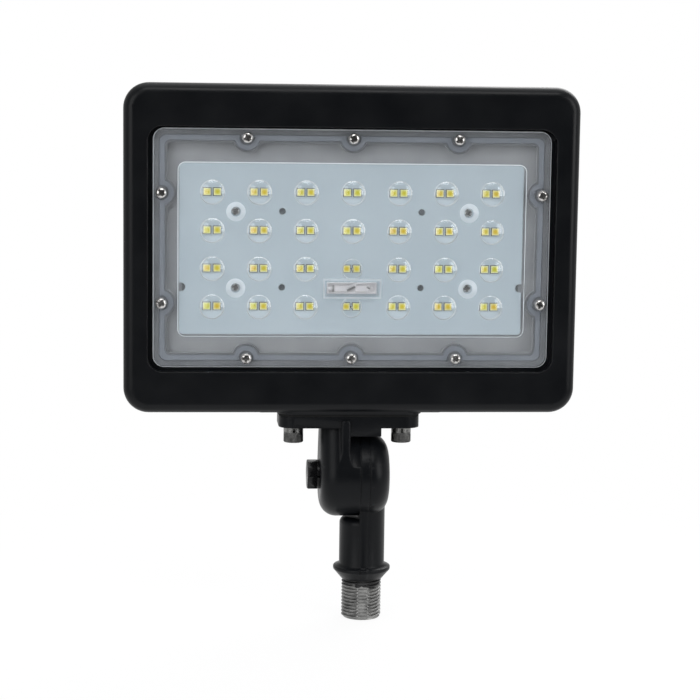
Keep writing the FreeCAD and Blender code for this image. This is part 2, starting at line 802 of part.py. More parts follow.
def thermal_pad():
    """Thin pad between the board and the tray floor."""
    screw_hole = s.screw_radius + s.hole_clearance
    holes = [(across, up, screw_hole) for across, up in board_screw_places]
    holes.append((dim(0), -s.led_pitch_z, grommet_outer))
    margin = 2 * s.thermal_pad_margin
    return plate("thermal_pad", "y", (head_x, board_back, head_z),
                 (board_width - margin, board_height - margin, s.board_corner), s.thermal_pad_thick, holes)


def lamp_blocks(name, side, front, back):
    """One square block for each lamp between two depths."""
    return [box(f"{name}_{number}", (x - side / 2, x + side / 2), (front, back), (z - side / 2, z + side / 2))
            for number, (x, _, z) in enumerate(on_head(lamps(), front), 1)]


def led_packages():
    """Lamp bodies, each with a square recess in its face."""
    bodies = group("lamp_bodies", lamp_blocks("lamp_body", s.led_side, lamp_top, board_front))
    recesses = lamp_blocks("lamp_recess", s.phosphor_side, lamp_top - OVERLAP, lamp_top + s.phosphor_depth)
    return cut("led_packages", bodies, *recesses)


def led_phosphors():
    """Yellow filling of each lamp's recess."""
    return group("led_phosphors",
                 lamp_blocks("phosphor", s.phosphor_side, lamp_top, lamp_top + s.phosphor_depth))


def board_connector():
    """Low connector block on the board's face with a socket for each lead at its back."""
    block = box("connector_block", (head_x - s.connector_width / 2, head_x + s.connector_width / 2),
                (connector_front, board_front),
                (connector_z - s.connector_height / 2, connector_z + s.connector_height / 2))
    sockets = [rod(f"{name}_socket", "-y", (head_x + across, board_front + OVERLAP, connector_z),
                   s.lead_radius + s.tapped_clearance, s.lead_plug_in + OVERLAP)
               for name, across in lead_places.items()]
    return cut("board_connector", block, *sockets)


def lead(name):
    """Straight stub of a lead from the driver through the tray floor into the connector."""
    start = board_front - s.lead_plug_in
    at = (head_x + lead_places[name], start, connector_z)
    return rod(name, "+y", at, s.lead_radius, floor_back - start)


def wire_grommet():
    """Rubber sleeve that lines the lead hole in the tray floor."""
    return tube("wire_grommet", "+y", (head_x, tray_floor, connector_z), grommet_inner, grommet_outer,
                s.floor_thick)


def driver_module():
    """Potted driver on a base plate with an ear above and below."""
    base = plate("driver_base", "y", (head_x, floor_back, box_z),
                 (s.driver_width, s.driver_height + 2 * s.driver_ear, s.driver_corner), s.driver_ear_thick,
                 [(across, up, s.screw_radius + s.hole_clearance) for across, up in driver_screw_places()])
    can = plate("driver_can", "y", (head_x, floor_back, box_z),
                (s.driver_width, s.driver_height, s.driver_corner), s.driver_depth)
    return fuse("driver_module", base, can)


def rear_cover():
    """Flat cover over the driver box, rounded at its back edge."""
    hole = s.screw_radius + s.hole_clearance
    blank = plate("cover_blank", "y", (head_x, cover_front, box_z), (s.box_width, s.box_height, s.box_corner),
                  s.cover_thick, [(across, up, hole) for across, up in cover_screw_places()])
    return rounded("rear_cover", blank, s.cover_round,
                   lambda edge: lies_at(edge, "y", cover_back) and not edge.isClosed())


def rear_cover_gasket():
    """Flat ring between the driver box and its cover."""
    hole = s.screw_radius + s.hole_clearance
    return plate("rear_cover_gasket", "y", (head_x, box_back, box_z),
                 (s.box_width, s.box_height, s.box_corner), s.box_gasket_thick,
                 [(across, up, hole) for across, up in cover_screw_places()],
                 (box_inner_width, box_inner_height, box_inner_corner))


def screws(name, places, y, level, under_head, grip, direction, head_radius=s.screw_head_radius,
           slot_length=s.screw_slot_length):
    """A set of pan-head screws whose heads sit at one depth."""
    master = pan_screw(name, under_head + grip, head_radius, slot_length)
    return copies(name, master, on_head(places, y, level), POINT_TO[direction])


def flange_plate(name, bottom, thickness, wire_radius):
    """A plate of the flange's outline with two screw holes and the wire hole."""
    holes = [(s.flange_screw_spacing * side / 2, dim(0), flange_hole) for side in (1, -1)]
    holes.append((dim(0), dim(0), wire_radius))
    outline = (flange_length, s.flange_depth, s.flange_corner)
    return plate(name, "z", (head_x, 0, bottom), outline, thickness, holes)


def neck_block():
    """Neck that runs off the lobe in tangents, front and back, up into the flange."""
    half_depth = s.neck_depth / 2
    rise = flange_bottom - axis_z
    reach = root_of(half_depth * half_depth + rise * rise)
    run = root_of(reach * reach - s.lobe_radius * s.lobe_radius)
    share = s.lobe_radius / (reach * reach)
    tangent_y = share * (s.lobe_radius * half_depth + run * rise)
    tangent_z = axis_z + share * (s.lobe_radius * rise - run * half_depth)
    blank = prism("neck_blank", "x", (lobe_end, 0, 0),
                  [(-tangent_y, tangent_z), (tangent_y, tangent_z), (half_depth, flange_bottom),
                   (half_depth, neck_top), (-half_depth, neck_top), (-half_depth, flange_bottom)],
                  -s.shelf_start - lobe_end)
    return rounded("neck_block", blank, s.upper_round,
                   lambda edge: lies_at(edge, "x", lobe_end) and edge.BoundBox.ZLength > OVERLAP)


def neck_rib():
    """Stiffening rib across the neck's right side that ends on the lobe, with rounded edges."""
    half_depth = s.neck_rib_depth / 2
    blank = box("neck_rib_blank", (-s.shelf_start - s.neck_rib_width, -s.shelf_start),
                (-half_depth, half_depth), (axis_z, flange_top - s.neck_rib_drop))
    return rounded("neck_rib", blank, s.neck_rib_round,
                   lambda edge: abs(edge.CenterOfMass.y) > half_depth.number - OVERLAP
                   and edge.CenterOfMass.z > axis_z.number + OVERLAP)


def knuckle_upper():
    """Upper half of the joint: flange, neck and the lobe that turns on the bolt."""
    flange = flange_plate("upper_flange", flange_bottom, s.flange_thick, s.neck_port_radius)
    shelf = box("neck_shelf", (-s.shelf_start - OVERLAP, s.neck_reach),
                (-s.flange_depth / 2, s.flange_depth / 2), (flange_bottom - s.shelf_thick, neck_top))
    drum = rod("lobe_drum", "+x", (lobe_end, 0, axis_z), s.lobe_radius, lobe_face - lobe_end)
    lobe = rounded("lobe_rounded", drum, s.upper_round, lambda edge: lies_at(edge, "x", lobe_end))
    hub = rod("upper_hub", "+x", (lobe_face - OVERLAP, 0, axis_z), s.hub_radius, s.face_gap + OVERLAP)
    solid = fuse("upper_solid", flange, neck_block(), neck_rib(), shelf, lobe, hub)
    bore = rod("upper_bore", "+x", (lobe_end - OVERLAP, 0, axis_z), pivot_bore, s.upper_width + 2 * OVERLAP)
    space = tube("upper_space", "+x", (meet_x - s.upper_space_depth, 0, axis_z), s.hub_radius,
                 s.wire_space_radius, s.upper_space_depth)
    middle = axis_z + (s.hub_radius + s.wire_space_radius) / 2
    port = rod("neck_port", "+z", (head_x, 0, middle), s.neck_port_radius, flange_top - middle + OVERLAP)
    return cut("knuckle_upper", solid, bore, fuse("upper_wireway", space, port))


def thread_rings():
    """Profile of the spigot: ring after ring with a flat crest, from the collar down to its foot."""
    crest = s.thread_diameter / 2
    root = crest - s.thread_depth
    flank = s.thread_depth * FLANK_SLOPE
    foot = -s.thread_length
    last = s.thread_length - s.thread_lead_in - s.thread_crest - flank
    count = int(last.number / s.thread_pitch.number) + 1
    profile = [(dim(0), dim(0))]
    for number in range(count):
        start = -s.thread_pitch * number
        if number:
            profile.append((root, start + flank))
        profile += [(crest, start), (crest, start - s.thread_crest), (root, start - s.thread_crest - flank)]
    return profile + [(root, foot), (dim(0), foot)]


def stem_profile(proud, top):
    """Outline of the collar and stem, widened by what stands proud."""
    neck = s.thread_diameter / 2 + s.shoulder_step + proud
    return [(0, 0), (neck, 0), (s.collar_radius + proud, s.collar_rim - s.collar_rim_width),
            (s.collar_radius + proud, s.collar_rim), (s.stem_radius + proud, s.collar_height),
            (s.stem_radius + proud, top), (0, top)]


def stem_blank(name, proud, top):
    """Collar with a rounded rim and the stem up to a level, widened by what stands proud."""
    blank = turned(f"{name}_turned", (0, 0, 0), stem_profile(proud, top))
    rim = (s.collar_rim, s.collar_rim - s.collar_rim_width)
    return rounded(name, blank, s.collar_rim_width * RIM_ROUNDING,
                   lambda edge: any(lies_at(edge, "z", level) for level in rim))


def knuckle_lower():
    """Lower half of the joint: disc, stem, collar and the threaded spigot with its wireway."""
    drum = rod("disc_drum", "+x", (meet_x, 0, axis_z), s.lobe_radius, s.lower_width)
    disc = rounded("disc_rounded", drum, s.lower_round, lambda edge: lies_at(edge, "x", disc_end))
    stem_reach = axis_z - s.hub_radius
    stem = rounded("low_stem", stem_blank("stem_blank", dim(0), stem_top), s.stem_round,
                   lambda edge: lies_at(edge, "z", stem_top))
    riser_blank = stem_blank("riser_blank", dim(0), stem_reach)
    riser_side = box("riser_side", (meet_x, 2 * s.stem_radius), (-2 * s.stem_radius, 2 * s.stem_radius),
                     (s.collar_height, stem_reach))
    riser = common("stem_riser", riser_blank, riser_side)
    rib_blank = stem_blank("rib_blank", s.rib_proud, stem_reach)
    rib_slice = box("rib_slice", (meet_x, meet_x + s.rib_width), (-2 * s.collar_radius, 0), (0, stem_reach))
    rib = common("parting_rib", rib_blank, rib_slice)
    spigot = turned("spigot", (0, 0, 0), thread_rings())
    solid = fuse("lower_solid", disc, stem, riser, rib, spigot)
    wireway_top = stem_top - s.wireway_top_wall
    wireway = rod("wireway", "+z", (0, 0, -s.thread_length - OVERLAP), s.wireway_radius,
                  s.thread_length + wireway_top + OVERLAP)
    port_top = axis_z - (s.hub_radius + s.wire_space_radius) / 2
    port = rod("stem_port", "+z", (s.wire_port_offset, 0, wireway_top - OVERLAP), s.wire_port_radius,
               port_top - wireway_top + OVERLAP)
    space = tube("lower_space", "+x", (meet_x - OVERLAP, 0, axis_z), s.hub_radius, s.wire_space_radius,
                 s.lower_space_depth + OVERLAP)
    groove = tube("seal_groove", "+x", (meet_x - OVERLAP, 0, axis_z), s.seal_inner - s.seal_clearance,
                  seal_outer + s.seal_clearance, s.seal_groove_depth + OVERLAP)
    tapped = rod("pivot_tap", "+x", (meet_x - OVERLAP, 0, axis_z), s.pivot_radius + s.tapped_clearance,
                 s.pivot_reach + s.pivot_tip_room + OVERLAP)
    return cut("knuckle_lower", solid, fuse("lower_wireway", wireway, port, space), groove, tapped)


def joint_seal():
    """Rubber ring in the disc's groove that bears on the lobe."""
    return tube("joint_seal", "+x", (lobe_face, 0, axis_z), s.seal_inner, seal_outer,
                s.face_gap + s.seal_groove_depth)


def split_ring(name, direction, at, inner, outer, thickness):
    """Spring washer: a ring with one cut."""
    ring = tube(f"{name}_ring", "+z", (0, 0, 0), inner, outer, thickness)
    gap = box(f"{name}_gap", (-s.washer_split / 2, s.washer_split / 2), (-2 * outer, 0),
              (-OVERLAP, thickness + OVERLAP))
    washer = cut(name, ring, gap)
    place(washer, at, POINT_TO[direction])
    return washer


def pivot_bolt():
    """Hexagon-head bolt that the head tilts on; it screws into the disc."""
    hexagon = doc.addObject("Part::Prism", "bolt_hexagon")
    hexagon.Polygon = HEX_SIDES
    bind(hexagon, "Circumradius", s.pivot_head_flats / 2 * HEX_CORNER)
    bind(hexagon, "Height", s.pivot_head_height)
    corner_to_front = Rotation(AXIS["z"], 180 / HEX_SIDES)
    place(hexagon, (washer_end, 0, axis_z), POINT_TO["-x"] * corner_to_front)
    bevel = doc.addObject("Part::Cone", "bolt_bevel")
    outer = s.pivot_head_flats / 2 + s.pivot_head_bevel
    bind(bevel, "Radius1", outer + s.pivot_head_height * BEVEL_SLOPE)
    bind(bevel, "Radius2", outer)
    bind(bevel, "Height", s.pivot_head_height)
    place(bevel, (washer_end, 0, axis_z), POINT_TO["-x"])
    head = common("bolt_head", hexagon, bevel)
    shank = rod("bolt_shank", "+x", (washer_end - OVERLAP, 0, axis_z), s.pivot_radius,
                pivot_tip - washer_end + OVERLAP)
    return fuse("pivot_bolt", head, shank)


def flange_screws():
    """Socket-head screws that come up through the flange into the housing."""
    head = s.flange_screw_head_radius
    head_end = -s.flange_screw_head_height
    shank = s.flange_screw_radius
    tip = s.flange_screw_length
    blank = turned("cap_screw_blank", (0, 0, 0), [
        (0, head_end), (head - s.screw_tip, head_end), (head, head_end + s.screw_tip), (head, 0),
        (shank, 0), (shank, tip - s.screw_tip), (shank - s.screw_tip, tip), (0, tip)])
    socket = doc.addObject("Part::Prism", "cap_screw_socket")
    socket.Polygon = HEX_SIDES
    bind(socket, "Circumradius", s.flange_socket_flats / 2 * HEX_CORNER)
    bind(socket, "Height", s.flange_socket_depth + OVERLAP)
    place(socket, (0, 0, -s.flange_screw_head_height - OVERLAP))
    master = cut("cap_screw_master", blank, socket)
    return copies("flange_screws", master, [(x, y, screw_seat) for x, y in flange_screw_places])


def flange_washers():
    """Flat washers under the flange."""
    master = tube("flat_washer_master", "+z", (0, 0, 0), flange_hole, s.flange_washer_radius,
                  s.flange_washer_thick)
    return copies("flange_washers", master, [(x, y, flat_washer_bottom) for x, y in flange_screw_places])


def flange_spring_washers():
    """Split spring washers between the screw heads and the flat washers."""
    master = split_ring("spring_washer_master", "+z", (0, 0, 0), flange_hole, s.flange_screw_head_radius,
                        s.spring_washer_thick)
    return copies("flange_spring_washers", master, [(x, y, screw_seat) for x, y in flange_screw_places])


def build():
    """Make every piece, in the order that the light is put together."""
    pieces = [knuckle_lower(), joint_seal(), knuckle_upper(), pivot_bolt()]
    pieces.append(split_ring("pivot_washer", "-x", (lobe_end, 0, axis_z), pivot_bore, s.pivot_washer_radius,
                             s.pivot_washer_thick))
    pieces.append(flange_plate("knuckle_gasket", flange_top, s.knuckle_gasket_thick, s.wire_hole_radius))
    pieces += [flange_screws(), flange_washers(), flange_spring_washers()]
    pieces += [housing(), lens_gasket(), lens_cover(), thermal_pad(), led_board()]
    pieces += [led_packages(), led_phosphors(), board_connector(), wire_grommet()]
    pieces += [driver_module(), rear_cover_gasket(), rear_cover()]
    pieces += [lead(name) for name in lead_places]
    pieces.append(screws("lens_screws", lens_screw_places(), lens_front, lens_z, s.lens_thick,
                         s.lens_screw_grip, "-y"))
    pieces.append(screws("board_screws", board_screw_places, board_front, head_z,
                         s.board_thick + s.thermal_pad_thick, s.board_screw_grip, "-y",
                         s.board_screw_head, s.board_screw_slot))
    pieces.append(screws("driver_screws", driver_screw_places(), floor_back + s.driver_ear_thick, box_z,
                         s.driver_ear_thick, s.driver_screw_grip, "+y"))
    pieces.append(screws("rear_cover_screws", cover_screw_places(), cover_back, box_z,
                         s.cover_thick + s.box_gasket_thick, s.cover_screw_grip, "+y"))
    return pieces


def export(pieces):
    """Check every object and piece, then write one file for each piece."""
    doc.recompute()
    failed = [item.Label for item in doc.Objects if {"Invalid", "Error"} & set(item.State)]
    failed += [piece.Label for piece in pieces if piece.Shape.isNull() or not piece.Shape.isValid()]
    if failed:
        raise RuntimeError(f"these objects failed: {failed}")
    os.makedirs("parts", exist_ok=True)
    for piece in pieces:
        piece.Shape.exportStep(f"parts/{piece.Label}.step")
        print(piece.Label, len(piece.Shape.Solids), "solids", round(piece.Shape.Volume, 2), "mm3")


export(build())
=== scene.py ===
import math

import bmesh
import bpy
from mathutils import Matrix, Vector


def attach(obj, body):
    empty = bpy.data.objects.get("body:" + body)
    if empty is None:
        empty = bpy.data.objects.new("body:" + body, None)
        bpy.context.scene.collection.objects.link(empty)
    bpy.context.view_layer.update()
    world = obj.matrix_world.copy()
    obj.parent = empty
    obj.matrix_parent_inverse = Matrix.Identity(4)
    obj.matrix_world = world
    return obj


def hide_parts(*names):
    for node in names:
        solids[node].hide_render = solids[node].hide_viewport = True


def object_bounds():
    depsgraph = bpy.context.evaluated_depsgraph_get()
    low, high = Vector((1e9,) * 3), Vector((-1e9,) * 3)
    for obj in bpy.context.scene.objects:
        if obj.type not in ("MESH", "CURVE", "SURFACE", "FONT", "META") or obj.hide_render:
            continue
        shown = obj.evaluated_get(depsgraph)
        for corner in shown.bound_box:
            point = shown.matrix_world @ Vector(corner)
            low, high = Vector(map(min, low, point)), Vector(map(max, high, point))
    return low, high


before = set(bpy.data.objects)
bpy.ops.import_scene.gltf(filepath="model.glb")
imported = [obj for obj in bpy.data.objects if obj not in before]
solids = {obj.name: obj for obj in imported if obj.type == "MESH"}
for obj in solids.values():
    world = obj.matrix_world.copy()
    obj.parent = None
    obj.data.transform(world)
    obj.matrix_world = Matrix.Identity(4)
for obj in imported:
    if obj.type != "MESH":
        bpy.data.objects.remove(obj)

solid_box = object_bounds()
MM = 0.001

# Camera at the photograph's viewing angle
CAMERA_YAW = 4.963
CAMERA_PITCH = 7.44
CAMERA_ROLL = 0.768
CAMERA_PLACE = (-0.1009, -1.0742, 0.2627)
CAMERA_LENS = 106.4
CAMERA_SENSOR = 36.0

# Places on the light, in millimetres
HEAD_X = -8.5
HEAD_Z = 175.7
LENS_Z = 176.3
LENS_HALF_WIDTH = 102.25
LENS_HALF_HEIGHT = 61.2
FACE_Y = -20.0
LENS_FRONT = -17.5
PANEL_FRONT = -18.3
LENS_BACK = -14.5
BOARD_FRONT = -12.0
TRAY_FLOOR = -10.0
LENS_CORNER = 5.8
PANEL_HALF_WIDTH = 89.7
PANEL_HALF_HEIGHT = 44.8
PANEL_CORNER = 4.0
DOME_RADIUS = 6.0
DOME_RISE = 1.6
DOME_CURVE = 13.6
DOME_RINGS = (6.4, 6.0, 5.5, 5.0, 4.4, 3.7, 2.9, 2.0, 1.0, 0.4)
HOLLOW_RISE = 3.1
HOLLOW_CURVE = 11.2
HOLLOW_RINGS = (5.3, 4.7, 4.0, 3.2, 2.3, 1.2, 0.4)
HOLLOW_SIDE = [(5.9, 0), (5.88, 0.9), (5.78, 1.3), (5.58, 1.58)]
FLAT_HOLLOW = [(5.4, 0), (5.38, 1.2), (5.3, 1.6), (5.12, 1.85), (4.85, 1.97), (4.6, 2.0)]
DOME_SEARCH = 3.0
BUBBLE_RADIUS = 4.9
BUMP_RADIUS = 5.0
BUMP_CLEAR_RADIUS = 2.2
BACK_LIFT = 0.06
RELIEF_HALF_WIDTH = 15.1
RELIEF_HALF_HEIGHT = 5.2
RELIEF_FRONT = -19.2
RELIEF_FRAME = 1.5
RELIEF_CORNER = 0.1
RIM_SLOPE = 0.5
RIM_REACH = 0.55
OPENING_ROUND = 0.6
BEAD_ROUND = 0.9
BARE_INSET = 0.5
BARE_MARGIN = 0.05
# Depth below the lens's back over which the tray's painted lighter tone ramps in
LAND_DEPTH = 0.6
AXIS_Z = 55.7
LOBE_RADIUS = 22.0
LOBE_FACE = -2.9
DISC_FACE = -2.4
RING_BORE = 19.2
RING_LIFT = 0.02
RING_GAP = 0.03
STEM_END = -0.03
BOX_Z = 148.45
COVER_BACK = 23.0
FLOOR_BACK = -4.0

# Connector on the board: places are from the middle of its floor
CONNECTOR_Z = 156.1
CONNECTOR_FRONT = -15.2
CONNECTOR_WIDTH = 25.6
CONNECTOR_HEIGHT = 5.8
CONNECTOR_POCKET = 1.1
CONNECTOR_ROUND = 0.2
WALL_ROOT = 0.2
WALL_ROUND = 0.15
LONG_WALL = 0.6
LONG_WALL_Z = 2.6
END_WALL = 0.7
END_WALL_X = 12.45
END_WALL_HEIGHT = 5.2
PAD_SIZE = (7.6, 0.9, 3.4)
PAD_PLACE = (5.4, -0.25, -0.3)
PAD_ROUND = 0.35
LATCH_SIZE = (5.2, 0.5, 1.1)
LATCH_PLACE = (0.6, -0.6, 1.5)
LATCH_ROUND = 0.2
LATCH_TILT = -24.0
PORTS = ((-11.0, 1.1, 0.75), (10.4, 0.8, 0.45))
PORT_DEPTH = 0.05
PORT_SIDE = 0.9
PORT_RISE = 1.05
PORT_STEPS = 24
PORT_Z = -0.2
CONTACT_ROUND = 0.12
STRAIGHT_CONTACT = (0.7, 1.0, 3.6)
STRAIGHT_CONTACT_PLACE = (-9.6, -0.3, -0.2)
TILTED_CONTACT = (4.6, 0.3, 1.1)
TILTED_CONTACT_PLACE = (-0.4, -0.85, -0.2)
HOOK_CONTACT = (1.9, 0.3, 0.8)
HOOK_CONTACT_PLACE = (8.6, -0.85, 0.2)

# Lamp grid
COLUMNS = 7
ROWS = 4
PITCH_X = 24.0
PITCH_Z = 19.6
PAIR_SPACING = 5.1
LAMP_SIDE = 3.9
LAMP_HEIGHT = 0.7
LAMP_ROUND = 0.14
LAMP_RIM = 0.16
LAMP_STEP = 0.05
LAMP_WELL = 0.12
# Dark pad round each lamp, a sheet of painted shade
SHADE_PAD_MARGIN = 0.3
SHADE_PAD_HEIGHT = 0.06
PHOSPHOR_SIDE = 3.3
PHOSPHOR_HEIGHT = 0.3
PHOSPHOR_SINK = 0.2
PHOSPHOR_ROUND = 0.1
TINT_STEP = 12.9898
TINT_SPREAD = 43758.5453

# Thread on the spigot
THREAD_CREST = 10.4775
THREAD_ROOT = 9.4775
THREAD_PITCH = 1.814
THREAD_FLAT = 0.4
THREAD_FLANK = 0.577
THREAD_TOP = 0.5
THREAD_END = -21.3
THREAD_CHAMFER = 1.0
THREAD_PARTING = 9.57
THREAD_TURNS = 15
THREAD_STEPS = 56
WIREWAY_RADIUS = 7.0
PAINT_LOW = -5.0
PAINT_HIGH = -0.8
PAINT_EDGE = 0.15

# Scores on the joint's drum, by their place across, width, depth and angle
DRUM_GROOVE = (2.3, 0.4, 0.22)
DRUM_GROOVE_ENDS = (-50.0, 80.0)
DRUM_MARK = (5.2, 4.6, 0.16)
DRUM_MARK_TURNS = (49.0, 19.0, -10.0, -40.0)
DRUM_MARK_HALF = 0.6

# Pan-head screws: the crown has shares of the head's radius and heights
PAN_CROWN = ((0.93, 0), (0.993, 0.12), (1, 0.35), (0.986, 0.8), (0.931, 1.25), (0.834, 1.62), (0.69, 1.9),
             (0.483, 2.09), (0.241, 2.18), (0, 2.2))
PAN_HEAD = 2.9
PAN_STEPS = 40
SHANK_RADIUS = 1.5
SHANK_TIP_RADIUS = 1.1
SHANK_TIP = 0.4
CROSS_ROOT = 0.78
CROSS_MOUTH = 1.0
CROSS_DEPTH = 2.0
CROSS_MIDDLE = 1.7
CROSS_REACH = 1.1
CROSS_WIDTH = 0.95
TO_FRONT = -1
TO_BACK = 1
LENS_SCREW_PITCH_X = 54.3
LENS_SCREW_PITCH_Z = 56.5
LENS_SCREW_INSET_X = 4.25
LENS_SCREW_INSET_Z = 4.6
LENS_SCREW_LENGTH = 10.0
LENS_SCREW_TURNS = (20, 65, 38, 80, 12, 50, 71)
BOARD_SCREW_HEAD = 2.1
BOARD_SCREW_LENGTH = 6.0
BOARD_SCREW_TURNS = (33, 8, 60, 77)
DRIVER_EAR = 2.0
DRIVER_SCREW_X = 30.0
DRIVER_SCREW_Z = 40.5
DRIVER_SCREW_LENGTH = 6.0
DRIVER_SCREW_TURNS = (15, 48)
COVER_SCREW_X = 48.0
COVER_SCREW_Z = 53.25
COVER_SCREW_LENGTH = 13.0
COVER_SCREW_TURNS = (28, 70, 5, 52)

# Socket-head screws: each row of the head has its rise, radius and depth of knurl
CAP_ROWS = ((0.22, 5.1, 0.0), (0.12, 5.18, 0.18), (3.9, 5.18, 0.18), (0.12, 5.08, 0.0),
            (0.3, 5.16, 0.0), (0.74, 5.16, 0.0))
CAP_HEIGHT = 5.4
CAP_END_RADIUS = 4.9
CAP_FACETS = 96
CAP_SOCKET_RADIUS = 2.9
CAP_SOCKET_LENGTH = 6.0
CAP_SHANK = ((0, -0.2), (3, -0.2), (3, 16.6), (2.6, 17), (0, 17))
CAP_SHANK_STEPS = 32
FLANGE_SCREW_X = 28.5
FLANGE_SCREW_SEAT = 78.6

# How square a face stands to the front, by which it gets its finish
SQUARE = 0.99999
FLAT = 0.9999
BUMP_TILT = 0.9995
FRAME_FLAT = 0.99
RIM_TILT = 0.98
FRAME_TILT = 0.8
SIDE_TILT = 0.7

# Reaches within which points count as one, on a level or on an outline
MERGE = 0.003
WELD = 0.002
CUT_REACH = 0.001
ON_LEVEL = 0.01
ON_OUTLINE = 0.02
NEAR_EDGE = 0.05

# Colours: two tones of each mottled finish, or one plain colour
COAT_TONES = ((0.0024, 0.0028, 0.0036, 1), (0.0038, 0.0043, 0.0052, 1))
COAT_SPECK = (0.011, 0.0115, 0.0125, 1)
LAND_TONES = ((0.17, 0.175, 0.185, 1), (0.21, 0.215, 0.225, 1))
# Tray tones painted lighter than the land's, to cancel the shade deep in the tray
TRAY_TONES_PAINTED_LIGHT = ((0.32, 0.325, 0.335, 1), (0.37, 0.375, 0.385, 1))
LENS_SHADE = (0.93, 0.945, 0.955, 1)
LENS_TONES = ((0.95, 0.97, 0.985, 1), (0.985, 0.99, 0.995, 1))
LENS_PALE = (0.85, 0.885, 0.91, 1)
LENS_INDEX = 1.49
THREAD_TONES = ((0.15, 0.15, 0.148, 1), (0.32, 0.32, 0.313, 1))
THREAD_PAINT = (0.006, 0.006, 0.0065, 1)
PHOSPHOR_DEEP = ((0.66, 0.62, 0.045, 1), (0.72, 0.5, 0.04, 1))
PHOSPHOR_PALE = ((0.8, 0.8, 0.34, 1), (0.84, 0.74, 0.32, 1))
PAPER = (0.75, 0.75, 0.75, 1)
WHITE = (1, 1, 1, 1)
SKY = (0.97, 0.985, 1.0, 1)


# Shader building blocks
def node(tree, kind, inputs=None, **settings):
    """Add one shader node; an input is a plain value or a socket to link from."""
    made = tree.nodes.new(f"ShaderNode{kind}")
    for name, value in settings.items():
        setattr(made, name, value)
    for name, value in (inputs or {}).items():
        if isinstance(value, bpy.types.NodeSocket):
            tree.links.new(value, made.inputs[name])
        else:
            made.inputs[name].default_value = value
    return made


def blend(tree, factor, first, second):
    """Mix two colours."""
    mixed = node(tree, "Mix", {0: factor, 6: first, 7: second}, data_type="RGBA")
    return mixed.outputs[2]


def spread(tree, value, low, high):
    """Turn a noise value into a range."""
    return node(tree, "MapRange", {"Value": value, "From Min": 0.3, "From Max": 0.7,
                                   "To Min": low, "To Max": high}).outputs[0]


def group(name, inputs, outputs):
    """An empty node group with float inputs and outputs; gives the tree and its two ends."""
    tree = bpy.data.node_groups.new(name, "ShaderNodeTree")
    for socket, value in inputs.items():
        made = tree.interface.new_socket(name=socket, in_out="INPUT", socket_type="NodeSocketFloat")
        made.default_value = value
    for socket in outputs:
        tree.interface.new_socket(name=socket, in_out="OUTPUT", socket_type="NodeSocketFloat")
    return tree, tree.nodes.new("NodeGroupInput"), tree.nodes.new("NodeGroupOutput")


def use(tree, made, **values):
    """Place a group in a material with its own values."""
    placed = node(tree, "Group", node_tree=made)
    for name, value in values.items():
        placed.inputs[name].default_value = value
    return placed


def make_grain():
    """Fine grain for a bump, with a slow mottle for colour and gloss."""
    tree, start, end = group("surface_grain", {"Fine": 1500.0, "Coarse": 60.0}, ("Height", "Mottle"))
    place = node(tree, "TexCoord").outputs["Object"]
    fine = node(tree, "TexNoise", {"Vector": place, "Scale": start.outputs["Fine"], "Detail": 3.0})
    coarse = node(tree, "TexNoise", {"Vector": place, "Scale": start.outputs["Coarse"], "Detail": 5.0})
    tree.links.new(fine.outputs[0], end.inputs["Height"])
    tree.links.new(coarse.outputs[0], end.inputs["Mottle"])
    return tree


def make_scuffs():
    """Sparse small scuffs and specks of dust, as a mask."""
    tree, start, end = group("light_scuffs", {"Scale": 220.0, "Amount": 0.62}, ("Mask",))
    place = node(tree, "TexCoord").outputs["Object"]
    specks = node(tree, "TexNoise", {"Vector": place, "Scale": start.outputs["Scale"], "Detail": 8.0,
                                     "Roughness": 0.7})
    above = node(tree, "Math", {0: specks.outputs[0], 1: start.outputs["Amount"]}, operation="SUBTRACT")
    sharp = node(tree, "Math", {0: above.outputs[0], 1: 9.0}, operation="MULTIPLY", use_clamp=True)
    tree.links.new(sharp.outputs[0], end.inputs["Mask"])
    return tree


grain = make_grain()
scuffs = make_scuffs()


def finish(name, roughness, metallic=0.0, **plain):
    """A material with its principled shader; gives the material, its tree and the shader."""
    material = bpy.data.materials.new(name)
    material.use_nodes = True
    tree = material.node_tree
    shader = tree.nodes["Principled BSDF"]
    shader.inputs["Roughness"].default_value = roughness
    shader.inputs["Metallic"].default_value = metallic
    for socket, value in plain.items():
        shader.inputs[socket.replace("_", " ")].default_value = value
    return material, tree, shader


def grained(tree, shader, colours, roughness, fine, coarse, strength, distance, soft_edge=0.0):
    """Give a shader a mottled colour, an uneven gloss and a grain; a soft edge rounds its corners."""
    texture = use(tree, grain, Fine=fine, Coarse=coarse)
    mottle = texture.outputs["Mottle"]
    tone = spread(tree, mottle, 0.0, 1.0)
    colour = blend(tree, tone, colours[0], colours[1])
    tree.links.new(colour, shader.inputs["Base Color"])
    tree.links.new(spread(tree, mottle, *roughness), shader.inputs["Roughness"])
    bump = node(tree, "Bump", {"Strength": strength, "Distance": distance * MM,
                               "Height": texture.outputs["Height"]})
    if soft_edge:
        edge = node(tree, "Bevel", {"Radius": soft_edge * MM}, samples=4)
        tree.links.new(edge.outputs[0], bump.inputs["Normal"])
    tree.links.new(bump.outputs[0], shader.inputs["Normal"])
    return colour


def powder_coat(name, soft_edge, shine):
    """Satin black powder coat on a casting, with a few pale specks."""
    material, tree, shader = finish(name, 0.4, Specular_IOR_Level=shine)
    coat = grained(tree, shader, COAT_TONES, roughness=(0.28, 0.38), fine=1300.0, coarse=45.0, strength=0.2,
                   distance=0.05, soft_edge=soft_edge)
    specks = use(tree, scuffs, Scale=260.0, Amount=0.68).outputs["Mask"]
    colour = blend(tree, specks, coat, COAT_SPECK)
    tree.links.new(colour, shader.inputs["Base Color"])
    return material, tree, shader, colour


